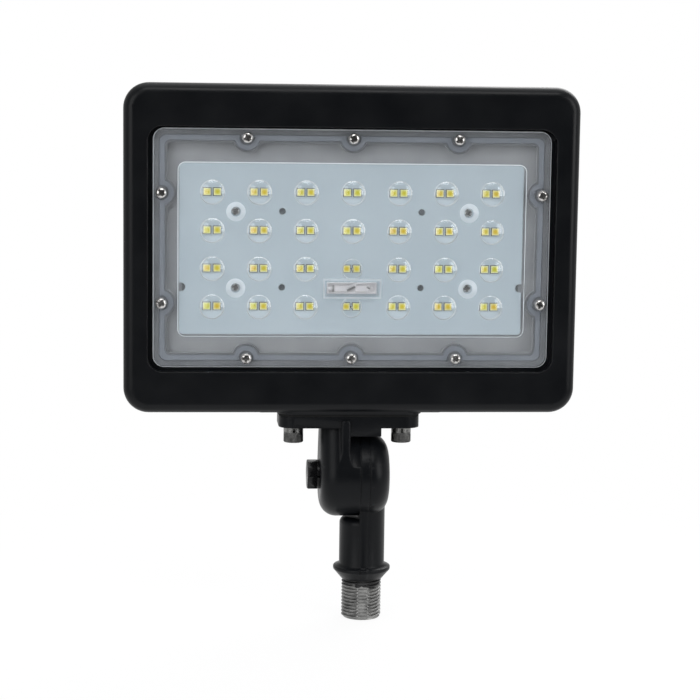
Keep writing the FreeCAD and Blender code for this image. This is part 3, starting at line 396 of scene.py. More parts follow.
def lens_side_mask(tree, axes):
    """One inside the lens's rounded outline and behind it, where the casting is left bare."""
    past_corner = []
    for letter, middle, half in (("X", HEAD_X, LENS_HALF_WIDTH), ("Z", LENS_Z, LENS_HALF_HEIGHT)):
        offset = node(tree, "Math", {0: axes.outputs[letter], 1: middle * MM}, operation="SUBTRACT")
        size = node(tree, "Math", {0: offset.outputs[0]}, operation="ABSOLUTE")
        past = node(tree, "Math", {0: size.outputs[0], 1: (half - LENS_CORNER) * MM}, operation="SUBTRACT")
        past_corner.append(node(tree, "Math", {0: past.outputs[0], 1: 0.0}, operation="MAXIMUM").outputs[0])
    corner = node(tree, "CombineXYZ", {0: past_corner[0], 1: past_corner[1]}).outputs[0]
    reach = node(tree, "VectorMath", {0: corner}, operation="LENGTH").outputs["Value"]
    inside = (LENS_CORNER - BARE_INSET) * MM
    mask = node(tree, "Math", {0: reach, 1: inside}, operation="LESS_THAN").outputs[0]
    depths = ((LENS_BACK - BARE_MARGIN, "GREATER_THAN"), (TRAY_FLOOR + BARE_INSET, "LESS_THAN"))
    for limit, operation in depths:
        side = node(tree, "Math", {0: axes.outputs["Y"], 1: limit * MM}, operation=operation).outputs[0]
        mask = node(tree, "Math", {0: mask, 1: side}, operation="MULTIPLY").outputs[0]
    return mask


def housing_finish():
    """Black powder coat outside, bare cast metal under the lens, with painted light: the tray's metal is
    toned lighter the deeper it lies, against its shade.
    """
    material, tree, shader, black = powder_coat("housing_powder_coat", 0.35, 0.17)
    place = node(tree, "TexCoord").outputs["Object"]
    axes = node(tree, "SeparateXYZ", {0: place})
    mask = lens_side_mask(tree, axes)
    streaks = node(tree, "TexNoise", {"Vector": place, "Scale": 90.0, "Detail": 6.0})
    tone = spread(tree, streaks.outputs[0], 0.0, 1.0)
    land = blend(tree, tone, *LAND_TONES)
    tray = blend(tree, tone, *TRAY_TONES_PAINTED_LIGHT)
    # Painted light: deeper in the tray the bare metal takes the lighter tone, standing in for light the
    # recess's shade takes away
    deep = node(tree, "MapRange", {"Value": axes.outputs["Y"], "From Min": LENS_BACK * MM,
                                   "From Max": (LENS_BACK + LAND_DEPTH) * MM}).outputs[0]
    tree.links.new(blend(tree, mask, black, blend(tree, deep, land, tray)), shader.inputs["Base Color"])
    return material


def let_light_in(tree, shader):
    """Let lamps shine through the lens onto what lies behind it."""
    through = node(tree, "BsdfTransparent", {"Color": LENS_SHADE})
    path = node(tree, "LightPath")
    mix = node(tree, "MixShader", {0: path.outputs["Is Shadow Ray"]})
    tree.links.new(shader.outputs[0], mix.inputs[1])
    tree.links.new(through.outputs[0], mix.inputs[2])
    tree.links.new(mix.outputs[0], tree.nodes["Material Output"].inputs["Surface"])


def lens_finish(name, clear, frosted):
    """Clear moulded plastic that lets the light through to the board, between two grades of gloss."""
    material, tree, shader = finish(name, clear, IOR=LENS_INDEX, Transmission_Weight=1.0)
    place = node(tree, "TexCoord").outputs["Object"]
    haze = node(tree, "TexNoise", {"Vector": place, "Scale": 30.0, "Detail": 4.0})
    colour = blend(tree, haze.outputs[0], *LENS_TONES)
    tree.links.new(colour, shader.inputs["Base Color"])
    tree.links.new(spread(tree, haze.outputs[0], clear, frosted), shader.inputs["Roughness"])
    let_light_in(tree, shader)
    return material


def lens_pale_finish(name, clearness, roughness):
    """Moulded edges of the lens, which scatter the light and look pale."""
    material, tree, shader = finish(name, roughness, IOR=LENS_INDEX, Transmission_Weight=clearness)
    shader.inputs["Base Color"].default_value = LENS_PALE
    let_light_in(tree, shader)
    return material


def plain_finish(name, colours, roughness, metallic=0.0, fine=900.0, coarse=70.0, strength=0.15,
                 distance=0.03, soft_edge=0.0, **plain):
    """A mottled, grained finish with no mask."""
    material, tree, shader = finish(name, roughness[0], metallic, **plain)
    grained(tree, shader, colours, roughness, fine, coarse, strength, distance, soft_edge)
    return material


def thread_finish():
    """Bare cast thread with black overspray that runs out below the collar."""
    material, tree, shader = finish("thread_bare_metal", 0.4)
    place = node(tree, "TexCoord").outputs["Object"]
    texture = use(tree, grain, Fine=2200.0, Coarse=260.0)
    tone = spread(tree, texture.outputs["Mottle"], 0.0, 1.0)
    metal = blend(tree, tone, *THREAD_TONES)
    height = node(tree, "SeparateXYZ", {0: place}).outputs["Z"]
    ragged = node(tree, "TexNoise", {"Vector": place, "Scale": 150.0, "Detail": 5.0})
    level = node(tree, "MapRange", {"Value": ragged.outputs[0], "From Min": 0.25, "From Max": 0.75,
                                    "To Min": PAINT_LOW * MM, "To Max": PAINT_HIGH * MM}).outputs[0]
    above = node(tree, "Math", {0: height, 1: level}, operation="SUBTRACT").outputs[0]
    paint = node(tree, "MapRange", {"Value": above, "From Min": -PAINT_EDGE * MM,
                                    "From Max": PAINT_EDGE * MM}).outputs[0]
    tree.links.new(blend(tree, paint, metal, THREAD_PAINT), shader.inputs["Base Color"])
    bare = node(tree, "Math", {0: 1.0, 1: paint}, operation="SUBTRACT").outputs[0]
    tree.links.new(bare, shader.inputs["Metallic"])
    tree.links.new(spread(tree, texture.outputs["Mottle"], 0.34, 0.5), shader.inputs["Roughness"])
    bump = node(tree, "Bump", {"Strength": 0.3, "Distance": 0.05 * MM, "Height": texture.outputs["Height"]})
    tree.links.new(bump.outputs[0], shader.inputs["Normal"])
    return material


def phosphor_finish():
    """Yellow lamp filling, deeper in the middle, with a slightly different tint in every lamp."""
    material, tree, shader = finish("phosphor_yellow", 0.35)
    local = node(tree, "UVMap", uv_map="lamp").outputs[0]
    middle = node(tree, "VectorMath", {0: local}, operation="LENGTH").outputs["Value"]
    rim = node(tree, "MapRange", {"Value": middle, "From Min": 0.35, "From Max": 1.05}).outputs[0]
    tint = node(tree, "Attribute", attribute_name="tint").outputs["Fac"]
    deep = blend(tree, tint, *PHOSPHOR_DEEP)
    pale = blend(tree, tint, *PHOSPHOR_PALE)
    tree.links.new(blend(tree, rim, deep, pale), shader.inputs["Base Color"])
    return material


# Shaping helpers
def piece(name, shape, body, finishes, stands_for=(), crease=35.0):
    """Turn a shape into a finished piece that moves with a body."""
    mesh = bpy.data.meshes.new(name)
    shape.to_mesh(mesh)
    shape.free()
    for material in finishes:
        mesh.materials.append(material)
    mesh.polygons.foreach_set("use_smooth", [True] * len(mesh.polygons))
    mesh.set_sharp_from_angle(angle=math.radians(crease))
    made = bpy.data.objects.new(name, mesh)
    bpy.context.scene.collection.objects.link(made)
    flats = made.modifiers.new("flat_faces_first", "WEIGHTED_NORMAL")
    flats.keep_sharp = True
    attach(made, body)
    if stands_for:
        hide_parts(*stands_for)
    return made


def level_flats(made):
    """Leave the faces that lie square to an axis unsmoothed, so that they stay exactly flat."""
    for polygon in made.data.polygons:
        polygon.use_smooth = max(abs(part) for part in polygon.normal) < SQUARE


def shape_of(name):
    """A merged copy of a solid's mesh, without slivers."""
    shape = bmesh.new()
    shape.from_mesh(solids[name].data)
    bmesh.ops.remove_doubles(shape, verts=shape.verts, dist=MERGE * MM)
    bmesh.ops.dissolve_degenerate(shape, dist=MERGE * MM, edges=shape.edges)
    return shape


def join_flats(shape):
    """Join the triangles of flat faces."""
    bmesh.ops.dissolve_limit(shape, angle_limit=math.radians(0.4), use_dissolve_boundaries=False,
                             verts=shape.verts, edges=shape.edges)


def round_edges(shape, edges, width, segments=3):
    """Round chosen edges."""
    bmesh.ops.bevel(shape, geom=edges, offset=width * MM, offset_type="OFFSET", segments=segments,
                    profile=0.5, affect="EDGES", clamp_overlap=True, material=-1)


def sharp_at(shape, depth, angle=50.0):
    """The sharp edges that lie at one depth."""
    found = []
    for edge in shape.edges:
        level = all(abs(vert.co.y - depth * MM) < ON_OUTLINE * MM for vert in edge.verts)
        if level and len(edge.link_faces) == 2 and edge.calc_face_angle() > math.radians(angle):
            found.append(edge)
    return found


def outward(shape):
    """Merge doubles and make all faces point outwards."""
    bmesh.ops.remove_doubles(shape, verts=shape.verts, dist=WELD * MM)
    bmesh.ops.recalc_face_normals(shape, faces=shape.faces)


def turn_about(shape, axis, degrees):
    """Turn a shape about an axis through the origin."""
    matrix = Matrix.Rotation(math.radians(degrees), 3, axis)
    bmesh.ops.rotate(shape, cent=(0, 0, 0), matrix=matrix, verts=shape.verts)


def shift(shape, x, y, z):
    """Move a shape by millimetres."""
    bmesh.ops.translate(shape, vec=(x * MM, y * MM, z * MM), verts=shape.verts)


def edges_in(items):
    """The edges among what an operator made."""
    return [item for item in items if isinstance(item, bmesh.types.BMEdge)]


def verts_in(items):
    """The points among what an operator made."""
    return [item for item in items if isinstance(item, bmesh.types.BMVert)]


def cut_off(shape, height, side):
    """Cut a shape level at a height, drop the end on one side of it, and give the rim."""
    cut = bmesh.ops.bisect_plane(shape, geom=shape.verts[:] + shape.edges[:] + shape.faces[:],
                                 dist=CUT_REACH * MM, plane_co=(0, 0, height * MM), plane_no=(0, 0, side),
                                 clear_outer=True)
    return edges_in(cut["geom_cut"])


def turned(profile, steps=48):
    """Spin a profile of (radius, height) in millimetres round Z."""
    shape = bmesh.new()
    verts = [shape.verts.new((radius * MM, 0, height * MM)) for radius, height in profile]
    edges = [shape.edges.new(pair) for pair in zip(verts, verts[1:])]
    bmesh.ops.spin(shape, geom=verts + edges, cent=(0, 0, 0), axis=(0, 0, 1), angle=math.tau, steps=steps,
                   use_merge=True)
    outward(shape)
    return shape


def block(size, middle, rounding=0.0, segments=2):
    """A box with rounded edges, by its size and middle in millimetres."""
    shape = bmesh.new()
    bmesh.ops.create_cube(shape, size=1.0)
    bmesh.ops.scale(shape, vec=Vector(size) * MM, verts=shape.verts)
    bmesh.ops.translate(shape, vec=Vector(middle) * MM, verts=shape.verts)
    if rounding:
        round_edges(shape, shape.edges[:], rounding, segments)
    return shape


def add_to(whole, shape, matrix=None, keep=False):
    """Copy a shape into another one, at a place."""
    mesh = bpy.data.meshes.new("copy")
    shape.to_mesh(mesh)
    if matrix is not None:
        mesh.transform(matrix)
    whole.from_mesh(mesh)
    bpy.data.meshes.remove(mesh)
    if not keep:
        shape.free()


def combine(first, second, operation):
    """Cut or join two closed shapes."""
    pair = []
    for shape in (first, second):
        mesh = bpy.data.meshes.new("part")
        shape.to_mesh(mesh)
        shape.free()
        made = bpy.data.objects.new("part", mesh)
        bpy.context.scene.collection.objects.link(made)
        pair.append(made)
    modifier = pair[0].modifiers.new("combine", "BOOLEAN")
    modifier.object = pair[1]
    modifier.operation = operation
    modifier.solver = "EXACT"
    depsgraph = bpy.context.evaluated_depsgraph_get()
    result = bmesh.new()
    result.from_object(pair[0], depsgraph)
    for made in pair:
        mesh = made.data
        bpy.data.objects.remove(made)
        bpy.data.meshes.remove(mesh)
    return result


# Fasteners
def pan_screw(length, head):
    """A pan-head screw with a domed crown and a tapered cross recess, head towards +Z."""
    shank = [(0, -length), (SHANK_TIP_RADIUS, -length), (SHANK_RADIUS, -length + SHANK_TIP),
             (SHANK_RADIUS, 0)]
    crown = [(share * head, height) for share, height in PAN_CROWN]
    blank = turned(shank + crown, PAN_STEPS)
    cross = bmesh.new()
    for turn in (0, 90):
        wing = bmesh.new()
        bmesh.ops.create_cone(wing, cap_ends=True, segments=4, radius1=CROSS_ROOT * MM,
                              radius2=CROSS_MOUTH * MM, depth=CROSS_DEPTH * MM)
        turn_about(wing, "Z", 45)
        bmesh.ops.scale(wing, vec=(CROSS_REACH * head, CROSS_WIDTH, 1), verts=wing.verts)
        shift(wing, 0, 0, CROSS_MIDDLE)
        turn_about(wing, "Z", turn)
        if turn:
            cross = combine(cross, wing, "UNION")
        else:
            add_to(cross, wing)
    return combine(blank, cross, "DIFFERENCE")


def screw_set(name, places, length, facing, turns, stands_for, head=PAN_HEAD):
    """A set of pan-head screws, each turned by its own angle."""
    master = pan_screw(length, head)
    aim = Matrix.Rotation(math.radians(-90 * facing), 4, "X")
    whole = bmesh.new()
    for number, at in enumerate(places):
        spin = Matrix.Rotation(math.radians(turns[number % len(turns)]), 4, "Z")
        add_to(whole, master, Matrix.Translation(Vector(at) * MM) @ aim @ spin, keep=True)
    master.free()
    return piece(name, whole, "head", [stainless], (stands_for,), 40.0)


def lens_screw_places():
    """Three above, three below and two on each side of the lens."""
    row_z = LENS_HALF_HEIGHT - LENS_SCREW_INSET_Z
    side_x = LENS_HALF_WIDTH - LENS_SCREW_INSET_X
    rows = [(HEAD_X + LENS_SCREW_PITCH_X * step, LENS_FRONT, LENS_Z + row_z * side)
            for side in (1, -1) for step in (-1, 0, 1)]
    sides = [(HEAD_X + side_x * side, LENS_FRONT, LENS_Z + LENS_SCREW_PITCH_Z * step)
             for side in (1, -1) for step in (-0.5, 0.5)]
    return rows + sides


def box_screw_places(across, depth, up, steps):
    """Screws in two upright rows, on both sides of the driver box's middle."""
    return [(HEAD_X + across * side, depth, BOX_Z + up * step) for side in (1, -1) for step in steps]


def cap_screw():
    """A socket-head screw with a straight knurl, head towards -Z, seated at its own origin."""
    shape = bmesh.new()
    bmesh.ops.create_circle(shape, segments=CAP_FACETS, radius=CAP_END_RADIUS * MM)
    shift(shape, 0, 0, -CAP_HEIGHT)
    loop = shape.edges[:]
    for rise, radius, knurl in CAP_ROWS:
        grown = bmesh.ops.extrude_edge_only(shape, edges=loop)["geom"]
        loop = [edge for edge in edges_in(grown) if all(vert in grown for vert in edge.verts)]
        verts = {vert for edge in loop for vert in edge.verts}
        for vert in verts:
            turn = round(math.atan2(vert.co.y, vert.co.x) / math.tau * CAP_FACETS) % 2
            reach = (radius - knurl * turn) * MM
            flat = Vector((vert.co.x, vert.co.y, 0)).normalized() * reach
            vert.co = (flat.x, flat.y, vert.co.z + rise * MM)
    bmesh.ops.holes_fill(shape, edges=shape.edges, sides=0)
    outward(shape)
    socket = bmesh.new()
    bmesh.ops.create_cone(socket, cap_ends=True, segments=6, radius1=CAP_SOCKET_RADIUS * MM,
                          radius2=CAP_SOCKET_RADIUS * MM, depth=CAP_SOCKET_LENGTH * MM)
    shift(socket, 0, 0, -CAP_HEIGHT)
    head = combine(shape, socket, "DIFFERENCE")
    add_to(head, turned(CAP_SHANK, CAP_SHANK_STEPS))
    return head


def flange_screws():
    """The two socket-head screws that hold the knuckle's flange."""
    master = cap_screw()
    caps = bmesh.new()
    for side in (1, -1):
        place = Vector((HEAD_X + FLANGE_SCREW_X * side, 0, FLANGE_SCREW_SEAT)) * MM
        add_to(caps, master, Matrix.Translation(place), keep=True)
    master.free()
    piece("flange_cap_screws", caps, "head", [cap_steel], ("flange_screws",), 30.0)


# Pieces of the head
def housing():
    """Die-cast housing with a softened opening."""
    shape = shape_of("housing")
    join_flats(shape)
    round_edges(shape, sharp_at(shape, FACE_Y), OPENING_ROUND)
    return piece("housing_casting", shape, "head", [housing_finish()], ("housing",))


def lens_gasket():
    """Soft ring behind the lens with a rounded front."""
    shape = shape_of("lens_gasket")
    join_flats(shape)
    round_edges(shape, sharp_at(shape, LENS_BACK), BEAD_ROUND)
    return piece("lens_gasket_bead", shape, "head", [seal_grey], ("lens_gasket",))


def board_screw_places():
    """Four screws between the lamps that hold the board down."""
    return [(HEAD_X + PITCH_X * 2.5 * side, BOARD_FRONT, HEAD_Z + PITCH_Z * up)
            for side in (1, -1) for up in (1, -1)]


LENS_OUTLINE = (LENS_Z, LENS_HALF_WIDTH, LENS_HALF_HEIGHT, LENS_CORNER)
PANEL_OUTLINE = (HEAD_Z, PANEL_HALF_WIDTH, PANEL_HALF_HEIGHT, PANEL_CORNER)
RELIEF_OUTLINE = (CONNECTOR_Z, RELIEF_HALF_WIDTH, RELIEF_HALF_HEIGHT, RELIEF_CORNER)


def outside(point, outline):
    """How far a point lies outside a rounded rectangle on the head's face, in millimetres."""
    middle_z, half_width, half_height, corner = outline
    across = abs(point.x / MM - HEAD_X) - half_width + corner
    up = abs(point.z / MM - middle_z) - half_height + corner
    return math.hypot(max(across, 0), max(up, 0)) + min(max(across, up), 0) - corner


def nearest_pair(point):
    """The middle of the nearest pair of lamps, and a point's distance from it, in millimetres."""
    column = min(max(round((point.x / MM - HEAD_X) / PITCH_X + (COLUMNS - 1) / 2), 0), COLUMNS - 1)
    row = min(max(round((point.z / MM - HEAD_Z) / PITCH_Z + (ROWS - 1) / 2), 0), ROWS - 1)
    x = HEAD_X + PITCH_X * (column - (COLUMNS - 1) / 2)
    z = HEAD_Z + PITCH_Z * (row - (ROWS - 1) / 2)
    return x, z, math.hypot(point.x / MM - x, point.z / MM - z)


def meets_relief(x, z):
    """True for the two domes that run into the connector's relief."""
    return abs(x - HEAD_X) < RELIEF_HALF_WIDTH and abs(z - CONNECTOR_Z) < RELIEF_HALF_HEIGHT + DOME_RADIUS


def flatten_cut_domes(shape):
    """Level the two domes that run into the connector's relief, which no turned dome fits."""
    for vert in shape.verts:
        x, z, away = nearest_pair(vert.co)
        height = vert.co.y / MM
        if away > DOME_RADIUS + NEAR_EDGE or height > PANEL_FRONT - CUT_REACH or not meets_relief(x, z):
            continue
        past = outside(vert.co, RELIEF_OUTLINE)
        if past > ON_LEVEL or abs(past) < ON_LEVEL and height > RELIEF_FRONT + ON_LEVEL:
            vert.co.y = PANEL_FRONT * MM


def draw_in(shape, depth, outline):
    """Slope an outline's wall by drawing its front edge in."""
    middle_z, half_width, half_height, corner = outline
    for vert in shape.verts:
        if abs(vert.co.y - depth * MM) > ON_LEVEL * MM or abs(outside(vert.co, outline)) > ON_OUTLINE:
            continue
        across = vert.co.x / MM - HEAD_X
        up = vert.co.z / MM - middle_z
        past = Vector((math.copysign(max(abs(across) - half_width + corner, 0), across), 0,
                       math.copysign(max(abs(up) - half_height + corner, 0), up)))
        vert.co -= past.normalized() * RIM_SLOPE * MM


def split_wall(shape, depth, outline):
    """Add a ring of edges to an outline's wall at one depth."""
    wall = [face for face in shape.faces
            if all(abs(outside(vert.co, outline)) < ON_OUTLINE for vert in face.verts)]
    edges = {edge for face in wall for edge in face.edges}
    verts = {vert for face in wall for vert in face.verts}
    bmesh.ops.bisect_plane(shape, geom=list(verts) + list(edges) + wall, dist=CUT_REACH * MM,
                           plane_co=(0, depth * MM, 0), plane_no=(0, 1, 0))


def cap(reaches, top, curve):
    """Rings of (radius, rise) on a round cap."""
    return [(reach, top - curve + math.sqrt(curve * curve - reach * reach)) for reach in reaches]


def reshape_domes(shape, radius, base, rings, at_relief=False):
    """Give domes, or the hollows behind them, new rings of (radius, rise) and a small flat middle."""
    old = []
    for face in shape.faces:
        middle = face.calc_center_median()
        x, z, away = nearest_pair(middle)
        if away > radius or meets_relief(x, z) != at_relief:
            continue
        if base - DOME_SEARCH < middle.y / MM < base - CUT_REACH:
            old.append(face)
    bmesh.ops.delete(shape, geom=old, context="FACES")
    loop = [edge for edge in shape.edges if edge.is_boundary]
    verts = {vert for edge in loop for vert in edge.verts}
    for number, (reach, rise) in enumerate(rings):
        if number:
            grown = bmesh.ops.extrude_edge_only(shape, edges=loop)["geom"]
            loop = [edge for edge in edges_in(grown) if edge.is_boundary]
            verts = verts_in(grown)
        for vert in verts:
            x, z, away = nearest_pair(vert.co)
            share = reach / away
            vert.co = ((x + (vert.co.x / MM - x) * share) * MM, (base - rise) * MM,
                       (z + (vert.co.z / MM - z) * share) * MM)
    bmesh.ops.holes_fill(shape, edges=loop, sides=0)


def lens():
    """Clear lens plate with pale rims, round domes and frosted bumps over the board screws."""
    shape = shape_of("lens_cover")
    for vert in shape.verts:
        if abs(vert.co.y - LENS_BACK * MM) < ON_LEVEL * MM:
            vert.co.y -= BACK_LIFT * MM
    back = LENS_BACK - BACK_LIFT
    flatten_cut_domes(shape)
    dome = cap(DOME_RINGS, DOME_RISE, DOME_CURVE)
    hollow = HOLLOW_SIDE + cap(HOLLOW_RINGS, HOLLOW_RISE, HOLLOW_CURVE)
    reshape_domes(shape, DOME_RADIUS, PANEL_FRONT, dome)
    reshape_domes(shape, BUBBLE_RADIUS, back, hollow)
    reshape_domes(shape, BUBBLE_RADIUS, back, FLAT_HOLLOW, at_relief=True)
    split_wall(shape, LENS_FRONT + RIM_SLOPE, LENS_OUTLINE)
    for depth, outline in ((LENS_FRONT, LENS_OUTLINE), (PANEL_FRONT, PANEL_OUTLINE),
                           (RELIEF_FRONT, RELIEF_OUTLINE)):
        draw_in(shape, depth, outline)
    frame_faces = [face for face in shape.faces if abs(face.normal.y) > FRAME_FLAT
                   and abs(face.calc_center_median().y - RELIEF_FRONT * MM) < ON_LEVEL * MM]
    bmesh.ops.inset_region(shape, faces=frame_faces, thickness=RELIEF_FRAME * MM, depth=0)
    bmesh.ops.recalc_face_normals(shape, faces=shape.faces)
    for face in shape.faces:
        face.material_index = lens_grade(face)
    finishes = [lens_finish("lens_clear_plastic", 0.02, 0.05),
                lens_pale_finish("lens_frosted_relief", 0.88, 0.34),
                lens_pale_finish("lens_pale_rim", 0.62, 0.3),
                lens_pale_finish("lens_hollow_side", 0.52, 0.35),
                lens_finish("lens_satin_flat", 0.23, 0.26)]
    level_flats(piece("lens_plate", shape, "head", finishes, ("lens_cover",), 24.0))


CLEAR, FROSTED, PALE_RIM, HOLLOW_WALL, SATIN = range(5)


def lens_grade(face):
    """Which of the lens's finishes a face gets."""
    middle = face.calc_center_median()
    upright = abs(face.normal.y)
    for x, _, z in board_screw_places():
        away = math.hypot(middle.x / MM - x, middle.z / MM - z)
        if away < BUMP_RADIUS and upright < BUMP_TILT:
            return FROSTED if away > BUMP_CLEAR_RADIUS else SATIN
    from_rim = min(abs(outside(middle, outline)) for outline in (LENS_OUTLINE, PANEL_OUTLINE))
    if upright < RIM_TILT and from_rim < RIM_REACH:
        return PALE_RIM
    in_from_frame = max(abs(middle.x / MM - HEAD_X) - RELIEF_HALF_WIDTH,
                        abs(middle.z / MM - CONNECTOR_Z) - RELIEF_HALF_HEIGHT)
    on_front = abs(middle.y / MM - RELIEF_FRONT) < ON_LEVEL
    if -RELIEF_FRAME < in_from_frame < NEAR_EDGE and (on_front or upright < FRAME_TILT):
        return FROSTED
    from_pair = nearest_pair(middle)[2]
    if from_pair < DOME_RADIUS + NEAR_EDGE and upright < SIDE_TILT:
        return HOLLOW_WALL
    levels = (LENS_FRONT, PANEL_FRONT, RELIEF_FRONT)
    on_flat = face.normal.y < -FLAT and min(abs(middle.y / MM - level) for level in levels) < ON_LEVEL
    if on_flat and from_pair > DOME_RADIUS:
        return SATIN
    return CLEAR


def lamp_places():
    """The centre of each lamp on the board's face."""
    return [(HEAD_X + PITCH_X * (column - (COLUMNS - 1) / 2) + PAIR_SPACING * side,
             HEAD_Z + PITCH_Z * (row - (ROWS - 1) / 2))
            for row in range(ROWS) for column in range(COLUMNS) for side in (-0.5, 0.5)]


def lamps():
    """Lamp bodies with a pale rim round the yellow filling, with dark sides and a dark pad beneath that are
    painted shade round each lamp.
    """
    bodies = bmesh.new()
    fillings = bmesh.new()
    local = fillings.loops.layers.uv.new("lamp")
    tint = fillings.faces.layers.float.new("tint")
    for number, (x, z) in enumerate(lamp_places()):
        middle = (x, BOARD_FRONT - LAMP_HEIGHT / 2, z)
        body = block((LAMP_SIDE, LAMP_HEIGHT, LAMP_SIDE), middle, LAMP_ROUND, 1)
        front = min(body.faces, key=lambda face: face.calc_center_median().y)
        # Every face but the front gets the dark finish: painted shade along the lamp's sides
        for face in body.faces:
            face.material_index = 0 if face is front else 1
        bmesh.ops.inset_region(body, faces=[front], thickness=LAMP_RIM * MM, depth=0)
        bmesh.ops.inset_region(body, faces=[front], thickness=LAMP_STEP * MM, depth=-LAMP_WELL * MM)
        add_to(bodies, body)
        # A dark pad a little wider than the lamp: painted shade round its foot
        shade_pad_side = LAMP_SIDE + SHADE_PAD_MARGIN
        pad = block((shade_pad_side, SHADE_PAD_HEIGHT, shade_pad_side), (x, BOARD_FRONT - SHADE_PAD_HEIGHT / 2, z))
        for face in pad.faces:
            face.material_index = 1
        add_to(bodies, pad)
        first = len(fillings.faces)
        middle = (x, BOARD_FRONT - LAMP_HEIGHT + PHOSPHOR_SINK, z)
        add_to(fillings, block((PHOSPHOR_SIDE, PHOSPHOR_HEIGHT, PHOSPHOR_SIDE), middle, PHOSPHOR_ROUND, 1))
        fillings.faces.ensure_lookup_table()
        shade = math.sin(number * TINT_STEP) * TINT_SPREAD
        for face in fillings.faces[first:]:
            face[tint] = shade - math.floor(shade)
            for corner in face.loops:
                corner[local].uv = ((corner.vert.co.x / MM - x) / PHOSPHOR_SIDE * 2,
                                    (corner.vert.co.z / MM - z) / PHOSPHOR_SIDE * 2)
    piece("lamp_bodies", bodies, "head", [lamp_white, painted_shade_lamp_side], ("led_packages",), 30.0)
    piece("lamp_fillings", fillings, "head", [phosphor_finish()], ("led_phosphors",),
          30.0)


def add_tilted(whole, size, rounding, place, tilt):
    """Add a rounded block that is tilted about its own middle."""
    add_to(whole, block(size, (0, 0, 0), rounding), Matrix.Translation(place * MM) @ tilt)


def connector():
    """Two-pole connector on the board: a tray with low walls, a latch, two ports and their contacts."""
    floor = CONNECTOR_FRONT + CONNECTOR_POCKET
    middle = Vector((HEAD_X, floor, CONNECTOR_Z))
    body_place = (HEAD_X, (BOARD_FRONT + floor) / 2, CONNECTOR_Z)
    white = block((CONNECTOR_WIDTH, BOARD_FRONT - floor, CONNECTOR_HEIGHT), body_place, CONNECTOR_ROUND)
    wall_depth = CONNECTOR_POCKET + WALL_ROOT
    wall_y = wall_depth / 2 - CONNECTOR_POCKET
    for side in (-1, 1):
        long_place = middle + Vector((0, wall_y, LONG_WALL_Z * side))
        add_to(white, block((CONNECTOR_WIDTH, wall_depth, LONG_WALL), long_place, WALL_ROUND))
        end_place = middle + Vector((END_WALL_X * side, wall_y, 0))
        add_to(white, block((END_WALL, wall_depth, END_WALL_HEIGHT), end_place, WALL_ROUND))
        pad_place = middle + Vector((PAD_PLACE[0] * side, PAD_PLACE[1], PAD_PLACE[2]))
        add_to(white, block(PAD_SIZE, pad_place, PAD_ROUND, 3))
    tilt = Matrix.Rotation(math.radians(LATCH_TILT), 4, "Y")
    add_tilted(white, LATCH_SIZE, LATCH_ROUND, middle + Vector(LATCH_PLACE), tilt)
    aim = Matrix.Rotation(math.radians(90), 4, "X")
    for port_x, side_radius, end_radius in PORTS:
        stub = turned([(0, 0), (side_radius, 0), (side_radius, PORT_SIDE), (end_radius, PORT_RISE),
                       (0, PORT_RISE)], PORT_STEPS)
        port_place = middle + Vector((port_x, PORT_DEPTH, PORT_Z))
        add_to(white, stub, Matrix.Translation(port_place * MM) @ aim)
    metal = bmesh.new()
    add_to(metal, block(STRAIGHT_CONTACT, middle + Vector(STRAIGHT_CONTACT_PLACE), CONTACT_ROUND))
    add_tilted(metal, TILTED_CONTACT, CONTACT_ROUND, middle + Vector(TILTED_CONTACT_PLACE), tilt)
    add_tilted(metal, HOOK_CONTACT, CONTACT_ROUND, middle + Vector(HOOK_CONTACT_PLACE), tilt.inverted())
    piece("connector_body", white, "head", [connector_white], ("board_connector",))
    piece("connector_contacts", metal, "head", [contact_metal], ())


# Pieces of the knuckle
def thread():
    """Right-hand thread on the spigot, worn at the parting line, with a chamfered end and the wireway."""
    flat = THREAD_PITCH - THREAD_FLAT - 2 * THREAD_FLANK
    shape = bmesh.new()
    top = 2 * THREAD_PITCH
    profile = [(THREAD_ROOT, top), (THREAD_ROOT, top - flat), (THREAD_CREST, top - flat - THREAD_FLANK),
               (THREAD_CREST, top - flat - THREAD_FLANK - THREAD_FLAT), (THREAD_ROOT, top - THREAD_PITCH)]
    verts = [shape.verts.new((radius * MM, 0, height * MM)) for radius, height in profile]
    edges = [shape.edges.new(pair) for pair in zip(verts, verts[1:])]
    bmesh.ops.spin(shape, geom=verts + edges, cent=(0, 0, 0), axis=(0, 0, -1),
                   dvec=(0, 0, -THREAD_PITCH * MM / THREAD_STEPS), angle=math.tau * THREAD_TURNS,
                   steps=THREAD_STEPS * THREAD_TURNS)
    bmesh.ops.remove_doubles(shape, verts=shape.verts, dist=ON_LEVEL * MM)
    for vert in shape.verts:
        reach = math.hypot(vert.co.x, vert.co.y)
        limit = (THREAD_CREST - max(0.0, THREAD_END + THREAD_CHAMFER - vert.co.z / MM)) * MM
        if reach > limit:
            vert.co.x *= limit / reach
            vert.co.y *= limit / reach
        vert.co.y = min(max(vert.co.y, -THREAD_PARTING * MM), THREAD_PARTING * MM)
    ends = []
    for height, side in ((THREAD_TOP, 1), (THREAD_END, -1)):
        rim = cut_off(shape, height, side)
        grown = bmesh.ops.extrude_edge_only(shape, edges=rim)["geom"]
        for vert in verts_in(grown):
            reach = math.hypot(vert.co.x, vert.co.y)
            vert.co.x *= WIREWAY_RADIUS * MM / reach
            vert.co.y *= WIREWAY_RADIUS * MM / reach
        ends += [edge for edge in edges_in(grown) if edge.is_boundary]
    bmesh.ops.bridge_loops(shape, edges=ends)
    outward(shape)
    return piece("spigot_thread", shape, "base", [thread_finish()], (), 30.0)


